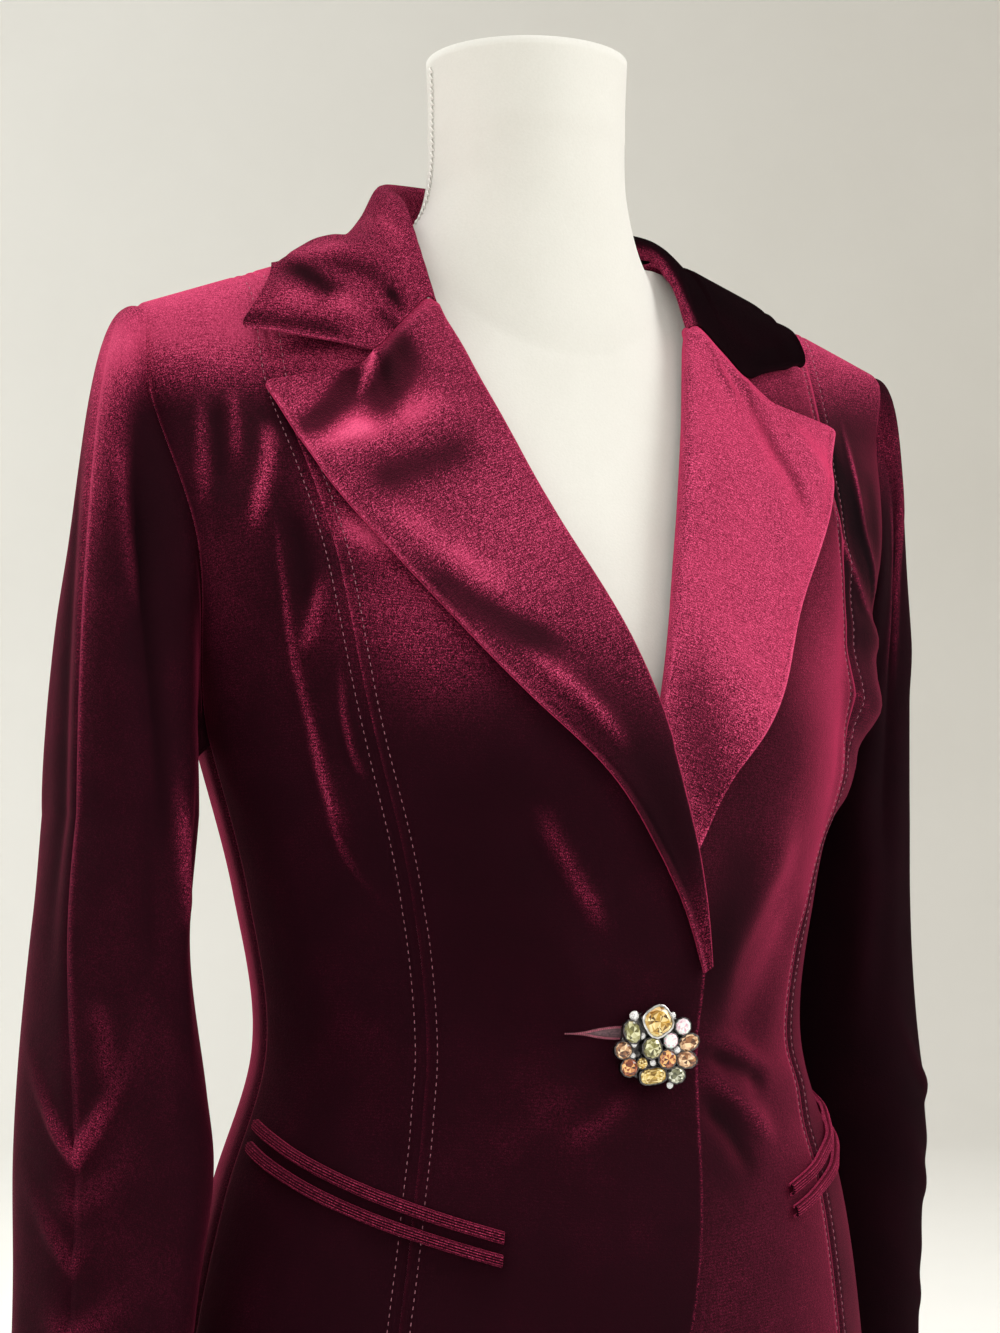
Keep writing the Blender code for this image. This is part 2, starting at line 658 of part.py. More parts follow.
def make_lapel(side_name, material):
    grid = lapel_grid(side_name)
    sheet("lapel_" + side_name, grid, lambda place: Vector((0.0, -1.0, 0.3)), material)


def laid_over(points, lift):
    """Points moved out until they lie this far above the blazer's panels."""
    share, height = np.meshgrid(np.linspace(-1, 1, 161), np.linspace(YOKE_FROM, CROWN_HEIGHT, 61))
    places = np.concatenate([BLAZER.point(share, height, facing) for facing in (FRONT, BACK)])
    normals = np.concatenate([BLAZER.normal(share, height, facing) for facing in (FRONT, BACK)])
    points = points.copy()
    for place in points.reshape(-1, 3):
        nearest = np.argmin(np.sum((places - place) ** 2, axis=1))
        above = (place - places[nearest]) @ normals[nearest]
        place += normals[nearest] * max(lift - above, 0.0)
    return points


def collar_half(side_name):
    """Sections from the centre back to the front end, each with a stand, a roll and a fall."""
    count = (len(COLLAR_ROWS) - 1) * COLLAR_STEPS + 1
    knots = np.arange(len(COLLAR_ROWS), dtype=float)
    rows = np.linspace(0, knots[-1], count)

    def rail(table):
        table = np.array(table)
        return np.stack([spline(knots, column, rows) for column in table.T], axis=1)

    seam = rail([row.seam for row in COLLAR_ROWS])
    roll = rail([row.roll for row in COLLAR_ROWS])
    edge = rail([row.edge for row in COLLAR_ROWS])
    bow, sag, reach = rail([row[3:] for row in COLLAR_ROWS]).T
    if side_name == "left":
        drop, inward, up = rail(COLLAR_LEFT).T
        roll[:, 2] -= drop
        edge[:, 0] -= inward
        edge[:, 2] += up
    columns = []
    for step in range(COLLAR_STAND_STEPS):
        columns.append(seam + (roll - seam) * step / COLLAR_STAND_STEPS)
    out = edge - roll
    out[:, 2] = 0
    out /= np.linalg.norm(out, axis=1)[:, None]
    columns.append(roll)
    start = roll + out * reach[:, None] + np.array([0, 0, COLLAR_ROLL_RISE])
    for part in COLLAR_FALL_SHARES:
        place = start + (edge - start) * part
        skewed = part**COLLAR_BOW_POWER
        place[:, 2] += bow * 4 * skewed * (1 - skewed)
        dip = np.interp(part, [0, COLLAR_NOTCH_SHARE, 1], [0, 1, 0])
        place += np.stack([0 * sag, -COLLAR_SAG_FORWARD * sag, -sag], axis=1) * dip
        columns.append(place)
    half = np.stack(columns, axis=1)
    half[:, COLLAR_STAND_STEPS + 1 :] = laid_over(half[:, COLLAR_STAND_STEPS + 1 :], COLLAR_LIFT)
    half[..., 0] *= SIDES[side_name]
    return half


def collar_grid():
    """The whole collar, from its right end round the neck to its left end."""
    right, left = collar_half("right"), collar_half("left")
    return np.concatenate([right[:0:-1], left])


def make_collar(material):
    sheet("collar", collar_grid(), lambda place: Vector((place.x, place.y, 0.06)), material)


def sleeve_folds(half, turn, height):
    rise = np.zeros_like(turn)
    for fold in SLEEVE_FOLDS[half]:
        part = (fold.top_z - height) / (fold.top_z - fold.low_z)
        middle = fold.top_turn + (fold.low_turn - fold.top_turn) * part
        fade = smooth(part * 4) * smooth((1 - part) * 3)
        rise += fold.rise * fade * np.exp(-(((turn - middle) / fold.width) ** 2))
    return rise


def sleeve_gathers(turn, height):
    """Ridges across the overarm seam below the elbow."""
    near = np.exp(-((turn / GATHER_TURN) ** 2))
    start = smooth((GATHER_TOP + GATHER_START - height) / (2 * GATHER_START))
    slant = height + GATHER_SLANT * turn
    wave = np.cos((GATHER_TOP - slant) / GATHER_PITCH * 2 * math.pi)
    return GATHER_RISE * near * start * wave


def sleeve_grid(side_name, half):
    """Rows from the armhole seam to the cuff; columns from the overarm seam to the underarm."""
    hang = SLEEVE_HANG[side_name]
    facing = FRONT if half == "front" else BACK
    share = np.linspace(0.0, 1.0, SLEEVE_COLUMNS + 1)
    turn = share * 180.0
    table = np.array(SLEEVE_RINGS)
    lowest = table[-1, 0]
    knots = -table[:, 0]
    armhole_height = CROWN_HEIGHT - (CROWN_HEIGHT - UNDERARM_HEIGHT) * share
    armhole = BLAZER.point(np.ones_like(share), armhole_height, facing)
    way_round = 1.0 if half == "front" else -1.0

    def round_sleeve(seam):
        """Angles in plan: the overarm seam lies at seam, the underarm one stays where it is."""
        swing = (seam - UNDERARM_TURN) * (1 + np.cos(np.radians(turn))) / 2
        return np.radians(UNDERARM_TURN + way_round * turn + swing)

    plan = round_sleeve(SEAM_TURN_TOP)

    def ring(height):
        out, more, across, depth = (spline(knots, line, [-height])[0] for line in table.T[1:])
        if side_name == "right":
            out += more
        down = (table[0, 0] - height) / (table[0, 0] - lowest)
        ridge = SEAM_RIDGE * np.exp(-((turn / SEAM_RIDGE_TURN) ** 2))
        heights = np.full_like(turn, height)
        swell = ridge + sleeve_folds(half, turn, heights) + sleeve_gathers(turn, heights)
        seam = SEAM_TURN_TOP + (SEAM_TURN_LOW - SEAM_TURN_TOP) * smooth((SEAM_TURN_FROM - height) / SEAM_TURN_SPAN)
        angle = round_sleeve(seam)
        x = out + (across + swell) * np.cos(angle)
        middle = hang.biceps_back + (hang.cuff_back - hang.biceps_back) * down
        y = middle - (depth + swell) * np.sin(angle)
        return np.stack([x, y, heights], axis=1)

    under = smooth((turn - CAP_UNDER_FROM) / (180.0 - CAP_UNDER_FROM))
    sine = np.sin(np.radians(turn))
    way = CAP_WAY_TOP + np.outer(sine, CAP_WAY_SIDE) + np.outer(under, CAP_WAY_UNDER)
    way[:, 1] *= facing
    way /= np.linalg.norm(way, axis=1)[:, None]
    gap = ARMHOLE_GAP + ARMHOLE_SIDE_GAP * sine + (UNDERARM_GAP - ARMHOLE_GAP) * under
    first = armhole + way * gap[:, None]
    last = ring(table[0, 0])
    fold = sleeve_folds(half, turn, last[:, 2])
    last -= np.stack([fold * np.cos(plan), -fold * np.sin(plan), 0 * fold], axis=1)
    chord = np.linalg.norm(last - first, axis=1)[:, None]
    leave = way * (CAP_REACH * chord + CAP_LEAD)
    arrive = np.array([0.0, 0.0, -1.0]) * chord * CAP_ARRIVE
    grid = []
    for row in range(SLEEVE_CAP_ROWS):
        t = (row / SLEEVE_CAP_ROWS) ** CAP_ROW_SPREAD
        place = first * (1 + 2 * t) * (1 - t) ** 2 + leave * t * (1 - t) ** 2
        place += last * t * t * (3 - 2 * t) + arrive * t * t * (t - 1)
        swell = sleeve_folds(half, turn, place[:, 2]) * (t * (2 - t))
        place[:, 0] += swell * np.cos(plan)
        place[:, 1] -= swell * np.sin(plan)
        grid.append(place)
    steps = round((table[0, 0] - GATHER_TOP) / SLEEVE_ROW_PITCH)
    gathers = round((GATHER_TOP - lowest) / GATHER_PITCH * GATHER_ROWS)
    plain = np.linspace(table[0, 0], GATHER_TOP, steps + 1)
    gathered = np.linspace(GATHER_TOP, lowest, gathers + 1)[1:]
    for height in np.concatenate([plain, gathered]):
        grid.append(ring(height))
    grid = np.stack(grid)
    for column, inner, gaps in ((0, 1, OVERARM_GAPS), (-1, -2, UNDERARM_GAPS)):
        gap = grid[:, inner] - grid[:, column]
        gap /= np.linalg.norm(gap, axis=1)[:, None]
        grid[:, column] += gap * SEAM_GAP * gaps
    grid[..., 0] *= SIDES[side_name]
    return grid


def make_sleeve(side_name, half, material):
    axis_x = SLEEVE_RINGS[0].out * SIDES[side_name]
    name = "sleeve_" + half + "_" + side_name
    grid = sleeve_grid(side_name, half)
    sheet(name, grid, lambda place: Vector((place.x - axis_x, place.y, 0.0)), material)


def make_pocket(side_name, material):
    """Two narrow welts on the front, one each side of the slanted mouth."""
    part = np.linspace(0.0, 1.0, WELT_STEPS + 1)
    share = POCKET_SIDE_SHARE + (POCKET_FRONT_SHARE - POCKET_SIDE_SHARE) * part
    side_z = POCKET_SIDE_Z[side_name]
    mouth = side_z + (POCKET_FRONT_Z[side_name] - side_z) * part
    for place, sign in (("upper", 1.0), ("lower", -1.0)):
        columns = []
        for step, rise in ((0.0, 0.0), (0.5, WELT_RISE), (1.0, 0.0)):
            height = mouth + sign * (POCKET_MOUTH / 2 + WELT_WIDTH * step)
            flat = BLAZER.point(share, height, FRONT)
            lift = WALL + WELT_CLEAR + rise + fold_rise(flat[:, 0], flat[:, 2])
            if side_name == "right":
                lift = lift + lap_rise(flat[:, 0], flat[:, 2])
            columns.append(BLAZER.lifted(share, height, FRONT, lift))
        grid = np.stack(columns, axis=1)
        grid[..., 0] *= SIDES[side_name]
        sheet("pocket_welt_" + place + "_" + side_name, grid, from_axis, material)


def make_button(mount_material, stone_materials):
    """A round mount on the right front and the stones set on it."""
    x = np.array([-BUTTON_X])
    z = np.array([BUTTON_Z])
    share, height = BLAZER.seen_from_front(x, z)
    flat = BLAZER.point(share, height, FRONT)
    lift = WALL + LAYER_GAP + lap_rise(flat[:, 0], flat[:, 2]) + fold_rise(flat[:, 0], flat[:, 2])
    foot = Vector(BLAZER.lifted(share, height, FRONT, lift + MOUNT_DEPTH / 2 + MOUNT_CLEAR)[0])
    foot.x = BUTTON_X
    turn = Matrix.Rotation(math.pi / 2, 4, "X")
    place = Matrix.Translation(foot) @ turn
    bm = bmesh.new()
    bmesh.ops.create_cone(
        bm,
        cap_ends=True,
        segments=MOUNT_SEGMENTS,
        radius1=MOUNT_RADIUS * MOUNT_TAPER,
        radius2=MOUNT_RADIUS,
        depth=MOUNT_DEPTH,
        matrix=place,
    )
    add_object("button_mount", bm, mount_material)
    for stone in STONES:
        depth = STONE_DEPTH * min(stone.width, stone.height)
        rise = MOUNT_DEPTH / 2 + LAYER_GAP + depth / 2
        shape = Matrix.Translation((stone.x, stone.z, rise))
        shape = shape @ Matrix.Rotation(math.radians(stone.turn), 4, "Z")
        shape = shape @ Matrix.Diagonal((stone.width, stone.height, 1.0, 1.0))
        bm = bmesh.new()
        bmesh.ops.create_cone(
            bm,
            cap_ends=True,
            segments=STONE_SEGMENTS,
            radius1=0.5,
            radius2=0.5 * STONE_TABLE,
            depth=depth,
            matrix=place @ shape,
        )
        add_object(stone.name, bm, stone_materials[stone.colour])


def make_form(material):
    """The dress form: the blazer's sections made smaller, with its armholes, neck and base closed."""
    front, back = eased(FRONT_LEVELS, FRONT), eased(BACK_LEVELS, BACK)
    figure = Figure(front, back, FORM_DROP, FORM_NECK_INSET, NECK_SHARE + ROUND_EASE)
    lower = np.linspace(0.0, UNDERARM_HEIGHT, FORM_LOWER_ROWS)
    turn = np.linspace(0, math.pi / 2, FORM_UPPER_ROWS + 1)[1:]
    upper = UNDERARM_HEIGHT + (CROWN_HEIGHT - UNDERARM_HEIGHT) * np.sin(turn)
    heights = np.concatenate([lower, upper])
    half = neck_and_shoulder(FORM_NECK_COLUMNS, FORM_COLUMNS)
    shares = np.concatenate([-half[:0:-1], half])
    bm = bmesh.new()
    start = 0
    for facing in (FRONT, BACK):
        bmesh.ops.create_grid(bm, x_segments=len(shares) - 1, y_segments=len(heights) - 1, size=1.0)
        bm.verts.ensure_lookup_table()
        u = np.repeat(shares[None, :], len(heights), axis=0)
        v = np.repeat(heights[:, None], len(shares), axis=1)
        points = figure.point(u, v, facing)
        for vert, spot in zip(bm.verts[start:], points):
            vert.co = spot
        start = len(bm.verts)
    bmesh.ops.remove_doubles(bm, verts=bm.verts, dist=1e-5)
    rim = [e for e in bm.edges if e.is_boundary]
    low = NECK_PIT[2] - NECK_MARGIN
    neck = [e for e in rim if all(v.co.z > low and abs(v.co.x) < NECK_SIDE[0] for v in e.verts)]
    for ring in NECK_RINGS:
        made = bmesh.ops.extrude_edge_only(bm, edges=neck)["geom"]
        fresh = {g for g in made if isinstance(g, bmesh.types.BMVert)}
        for vert in fresh:
            angle = math.atan2(vert.co.y - ring.middle_y, vert.co.x)
            vert.co.x = ring.half_x * math.cos(angle)
            vert.co.y = ring.middle_y + ring.half_y * math.sin(angle)
            vert.co.z = ring.height
        neck = [e for e in bm.edges if e.is_boundary and all(v in fresh for v in e.verts)]
    bmesh.ops.holes_fill(bm, edges=[e for e in bm.edges if e.is_boundary], sides=0)
    bmesh.ops.recalc_face_normals(bm, faces=bm.faces)
    add_object("dress_form", bm, material)


for old in list(bpy.data.objects):
    bpy.data.objects.remove(old)
PARTS = bpy.data.collections.new("velvet_blazer")
bpy.context.scene.collection.children.link(PARTS)

velvet = make_material("velvet", WINE, 0.8, 0.0)
welt_velvet = make_material("welt_velvet", WINE_DARK, 0.8, 0.0)
jersey = make_material("jersey", CREAM, 0.9, 0.0)
gunmetal = make_material("gunmetal", GUNMETAL, 0.35, 1.0)
gems = {name: make_material("gem_" + name, c, 0.1, 0.0) for name, c in STONE_COLOURS.items()}

make_form(jersey)
for wearer_side in SIDES:
    make_body(wearer_side, velvet)
    make_lapel(wearer_side, velvet)
    make_pocket(wearer_side, welt_velvet)
    for sleeve_half in ("front", "back"):
        make_sleeve(wearer_side, sleeve_half, velvet)
make_collar(velvet)
make_button(gunmetal, gems)
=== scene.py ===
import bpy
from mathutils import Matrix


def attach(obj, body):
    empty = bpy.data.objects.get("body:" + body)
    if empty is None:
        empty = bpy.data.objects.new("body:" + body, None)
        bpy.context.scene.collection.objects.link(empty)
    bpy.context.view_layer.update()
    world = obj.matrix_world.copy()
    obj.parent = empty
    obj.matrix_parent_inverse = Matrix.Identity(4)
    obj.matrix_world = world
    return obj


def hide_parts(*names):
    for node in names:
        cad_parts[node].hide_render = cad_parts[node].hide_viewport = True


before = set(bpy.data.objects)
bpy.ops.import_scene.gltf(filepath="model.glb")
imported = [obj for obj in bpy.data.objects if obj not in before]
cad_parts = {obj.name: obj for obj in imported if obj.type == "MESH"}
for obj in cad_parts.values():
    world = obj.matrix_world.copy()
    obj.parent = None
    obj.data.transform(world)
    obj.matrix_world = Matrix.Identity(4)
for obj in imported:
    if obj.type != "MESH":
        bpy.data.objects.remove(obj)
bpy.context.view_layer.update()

import math
from collections import namedtuple

import bmesh
import bpy
import numpy as np
from mathutils import Matrix, Vector
from mathutils.bvhtree import BVHTree

# The blazer's sections and seams, as in the part's own source
WALL = 0.002
BodyLevel = namedtuple("BodyLevel", "height depth edge_x edge_y roundness")
FRONT_LEVELS = (
    BodyLevel(0.118, 0.124, 0.164, 0.003, 1.00),
    BodyLevel(0.185, 0.122, 0.160, 0.003, 1.00),
    BodyLevel(0.262, 0.120, 0.1455, 0.000, 1.00),
    BodyLevel(0.322, 0.108, 0.1270, 0.000, 1.00),
    BodyLevel(0.392, 0.110, 0.1355, 0.001, 1.00),
    BodyLevel(0.455, 0.111, 0.152, 0.004, 1.00),
    BodyLevel(0.545, 0.080, 0.173, -0.030, 0.85),
    BodyLevel(0.600, 0.058, 0.186, -0.012, 0.70),
)
BACK_LEVELS = (
    BodyLevel(0.118, 0.122, 0.164, 0.003, 1.00),
    BodyLevel(0.185, 0.119, 0.160, 0.003, 1.00),
    BodyLevel(0.262, 0.100, 0.1455, 0.000, 1.00),
    BodyLevel(0.322, 0.090, 0.1270, 0.000, 1.00),
    BodyLevel(0.392, 0.099, 0.1355, 0.001, 1.00),
    BodyLevel(0.455, 0.110, 0.152, 0.004, 1.00),
    BodyLevel(0.545, 0.112, 0.173, 0.050, 0.85),
    BodyLevel(0.605, 0.096, 0.186, 0.024, 0.70),
)
HEM_HEIGHT = 0.118
CROWN_HEIGHT = 0.665
UNDERARM_HEIGHT = 0.455
NECK_PIT = (0.0, -0.050, 0.630)
NAPE = (0.0, 0.056, 0.692)
NECK_SIDE = (0.066, -0.004, 0.685)
SHOULDER_TIP = (0.190, 0.000, 0.640)
NECK_SHARE = 0.25
NECK_EASE = 0.012
SHOULDER_ROUND = 1.0
ROUND_EASE = 0.06
ROUND_FADE = 0.10
ARMHOLE_FROM_SHARE = 0.6
BUST_X = 0.082
BUST_HEIGHT = 0.458
BUST_RISE = 0.010
BUST_WIDTH = 0.042
BUST_SPAN = 0.050

Mark = namedtuple("Mark", "height value")
PRINCESS = {
    "right": (
        Mark(0.118, 0.490),
        Mark(0.262, 0.482),
        Mark(0.322, 0.492),
        Mark(0.392, 0.504),
        Mark(0.455, 0.532),
        Mark(0.545, 0.552),
        Mark(0.600, 0.596),
        Mark(0.665, 0.715),
    ),
    "left": (
        Mark(0.118, 0.486),
        Mark(0.262, 0.464),
        Mark(0.322, 0.476),
        Mark(0.392, 0.560),
        Mark(0.455, 0.635),
        Mark(0.545, 0.618),
        Mark(0.600, 0.606),
        Mark(0.665, 0.715),
    ),
}
FRONT_EDGE = (
    Mark(0.118, 0.026),
    Mark(0.160, 0.008),
    Mark(0.215, -0.008),
    Mark(0.281, -0.016),
    Mark(0.330, -0.020),
    Mark(0.362, -0.020),
    Mark(0.400, -0.0140),
    Mark(0.440, -0.0036),
    Mark(0.472, 0.0058),
    Mark(0.520, 0.0230),
    Mark(0.570, 0.0410),
    Mark(0.615, 0.0585),
    Mark(0.647, 0.0676),
    Mark(0.685, 0.0680),
)
LAP_RISE = (
    Mark(0.118, 0.0034),
    Mark(0.325, 0.0036),
    Mark(0.366, 0.0082),
    Mark(0.490, 0.0082),
    Mark(0.575, 0.0000),
    Mark(0.700, 0.0000),
)
LAP_FULL_X = 0.030
LAP_END_X = 0.082

LapelRow = namedtuple("LapelRow", "roll_x roll_z edge_x edge_z left_more roll_radius")
LAPEL_ROWS = (
    LapelRow(-0.0200, 0.362, -0.0176, 0.360, 0.008, 0.0013),
    LapelRow(-0.0164, 0.388, -0.0080, 0.386, 0.014, 0.0014),
    LapelRow(-0.0120, 0.411, 0.0050, 0.411, 0.014, 0.0014),
    LapelRow(-0.0044, 0.437, 0.0240, 0.438, 0.010, 0.0014),
    LapelRow(0.0058, 0.472, 0.0580, 0.470, 0.004, 0.0015),
    LapelRow(0.0212, 0.515, 0.0880, 0.512, 0.000, 0.0022),
    LapelRow(0.0388, 0.565, 0.1250, 0.563, 0.000, 0.0026),
    LapelRow(0.0660, 0.646, 0.1450, 0.606, 0.000, 0.0022),
)
LAPEL_EDGE_LIFT = 0.0012
LAPEL_EASE = 1.6
NOTCH_ROWS = 1.6
NOTCH_SHARE = 0.42
NOTCH_RISE = -0.0140

CollarRow = namedtuple("CollarRow", "seam roll edge bow sag reach")
COLLAR_ROWS = (
    CollarRow((0.000, 0.0570, 0.6932), (0.000, 0.062, 0.722), (0.000, 0.091, 0.664), 0.000, 0.0, 0.004),
    CollarRow((0.034, 0.0485, 0.6922), (0.034, 0.054, 0.720), (0.056, 0.082, 0.664), -0.002, 0.0, 0.004),
    CollarRow((0.058, 0.0260, 0.6900), (0.056, 0.029, 0.712), (0.100, 0.050, 0.666), -0.004, 0.0, 0.004),
    CollarRow((0.067, -0.0016, 0.6872), (0.064, 0.000, 0.699), (0.1225, 0.006, 0.665), -0.003, 0.0, 0.004),
    CollarRow((0.0665, -0.019, 0.6726), (0.067, -0.018, 0.679), (0.141, -0.025, 0.65), -0.001, 0.007, 0.003),
    CollarRow((0.0658, -0.0352, 0.647), (0.0665, -0.036, 0.6485), (0.149, -0.032, 0.63), 0.0, 0.0195, 0.002),
)
CollarLeft = namedtuple("CollarLeft", "roll_drop edge_in edge_up")
COLLAR_LEFT = (
    CollarLeft(0.000, 0.000, 0.000),
    CollarLeft(0.003, 0.000, 0.000),
    CollarLeft(0.008, 0.000, 0.000),
    CollarLeft(0.006, 0.002, 0.000),
    CollarLeft(0.003, 0.013, 0.005),
    CollarLeft(0.000, 0.015, 0.008),
)
CollarRight = namedtuple("CollarRight", "puff edge_out")
COLLAR_RIGHT = (
    CollarRight(0.000, 0.000),
    CollarRight(0.001, 0.000),
    CollarRight(0.005, 0.000),
    CollarRight(0.005, 0.000),
    CollarRight(0.001, 0.000),
    CollarRight(0.000, 0.0065),
)
COLLAR_STAND_STEPS = 2
COLLAR_FALL_SHARES = (0.0, 0.175, 0.35, 0.51, 0.67, 0.83, 1.0)
COLLAR_NOTCH_SHARE = 0.35
COLLAR_ROLL_RISE = 0.0012
COLLAR_SAG_FORWARD = 0.45
COLLAR_BOW_POWER = 0.65
COLLAR_LIFT = 0.0026
YOKE_FROM = 0.560

SleeveRing = namedtuple("SleeveRing", "height out right_more half_across half_along")
SLEEVE_RINGS = (
    SleeveRing(0.425, 0.1820, 0.0080, 0.0270, 0.048),
    SleeveRing(0.370, 0.1825, 0.0140, 0.0285, 0.049),
    SleeveRing(0.310, 0.1850, 0.0115, 0.0350, 0.053),
    SleeveRing(0.285, 0.1880, 0.0080, 0.0370, 0.055),
    SleeveRing(0.230, 0.1960, 0.0040, 0.0340, 0.050),
    SleeveRing(0.165, 0.2030, 0.0030, 0.0310, 0.045),
)
CAP_REACH = 0.24
CAP_LEAD = 0.006
CAP_ARRIVE = 1.1
CAP_WAY_TOP = (0.95, 0.0, 0.30)
CAP_WAY_SIDE = (-0.20, 0.04, -0.75)
CAP_WAY_UNDER = (0.0, 0.0, -0.10)
CAP_UNDER_FROM = 100.0
SleeveHang = namedtuple("SleeveHang", "biceps_back cuff_back")
SLEEVE_HANG = {"right": SleeveHang(0.011, -0.006), "left": SleeveHang(0.024, 0.040)}
UNDERARM_TURN = 12.0
SEAM_TURN_TOP = 28.0
SEAM_TURN_LOW = 42.0
SEAM_TURN_FROM = 0.430
SEAM_TURN_SPAN = 0.140
SEAM_RIDGE = 0.0025
SEAM_RIDGE_TURN = 14.0
SleeveFold = namedtuple("SleeveFold", "top_turn top_z low_turn low_z rise width")
SLEEVE_FOLDS = {
    "front": (
        SleeveFold(46.0, 0.585, 72.0, 0.380, -0.0050, 17.0),
        SleeveFold(16.0, 0.560, 12.0, 0.300, 0.0025, 15.0),
        SleeveFold(102.0, 0.470, 90.0, 0.300, 0.0030, 16.0),
    ),
    "back": (
        SleeveFold(74.0, 0.560, 108.0, 0.360, -0.0045, 18.0),
        SleeveFold(136.0, 0.450, 152.0, 0.290, 0.0030, 17.0),
    ),
}

FrontFold = namedtuple("FrontFold", "top_x top_z low_x low_z rise width")
FOLD_FROM_X = 0.020
FOLD_FADE = 0.022
FOLD_TO_SHARE = 0.82
FRONT_FOLDS = (
    FrontFold(0.146, 0.580, 0.122, 0.420, -0.0030, 0.012),
    FrontFold(0.078, 0.430, 0.020, 0.335, 0.0030, 0.013),
    FrontFold(0.094, 0.390, 0.040, 0.318, -0.0025, 0.012),
    FrontFold(0.110, 0.300, 0.030, 0.322, 0.0025, 0.012),
)

POCKET_SIDE_SHARE = 0.93
POCKET_SIDE_Z = {"right": 0.2880, "left": 0.2960}
POCKET_FRONT_SHARE = 0.31
POCKET_FRONT_Z = {"right": 0.2500, "left": 0.2600}
POCKET_MOUTH = 0.0040
WELT_WIDTH = 0.0050
WELT_RIBS = 5

FormLevel = namedtuple("FormLevel", "height front back edge_x")
FORM_FOOT = (FormLevel(0.0, 0.098, 0.104, 0.142), FormLevel(0.060, 0.104, 0.112, 0.150))
FORM_FOOT_Y = 0.006
FORM_EASE = (0.010, 0.010, 0.009, 0.010, 0.009, 0.006, 0.006, 0.005)
FORM_DROP = 0.0009
FORM_NECK_INSET = 0.004
NeckRing = namedtuple("NeckRing", "height half_x half_y middle_y")
NECK_RINGS = (
    NeckRing(0.700, 0.0500, 0.0480, 0.003),
    NeckRing(0.716, 0.0465, 0.0460, 0.001),
    NeckRing(0.745, 0.0455, 0.0455, 0.000),
    NeckRing(0.772, 0.0465, 0.0465, 0.000),
)
NECK_SOFT_HEIGHTS = (0.585, 0.735)
NECK_SOFT_X = 0.085
NECK_SOFT_ROUNDS = 24
NECK_CAP = ((0.96, 0.0), (0.85, 0.0008), (0.6, 0.0012), (0.3, 0.0012), (0.05, 0.0012))

# How finely the cloth is drawn
LOWER_ROWS = 124
UPPER_ROWS = 88
FRONT_COLUMNS = 80
SIDE_COLUMNS = 88
BACK_NECK_COLUMNS = 22
BACK_COLUMNS = 40
COLUMN_SPREAD = 1.5
LAPEL_DRAWN_ROWS = 130
LAPEL_DRAWN_COLUMNS = 54
LAPEL_ACROSS = 1.0 - (1.0 - np.linspace(0.0, 1.0, LAPEL_DRAWN_COLUMNS + 1)) ** 1.35
ROLL_DRAWN = 9
COLLAR_DRAWN_ROWS = 84
COLLAR_DRAWN_COLUMNS = 54
SLEEVE_CAP_DRAWN = 64
SLEEVE_DRAWN = 150
SLEEVE_DRAWN_COLUMNS = 60
FORM_LOWER_ROWS = 54
FORM_UPPER_ROWS = 42
FORM_NECK_COLUMNS = 20
FORM_COLUMNS = 30

# Sewing
CLOTH = 0.0017
EDGE_ROUND = 0.0007
SEAM_DIP = 0.0010
SEAM_SOFT = 0.0017
STITCH_AWAY = 0.0046
STITCH_DIP = 0.00045
STITCH_SOFT = 0.0011
LIP_RISE = 0.0004
LIP_WIDE = 0.0016
PRESS_DEEP = 0.0003
PRESS_AWAY = 0.0034
PRESS_WIDE = 0.0014

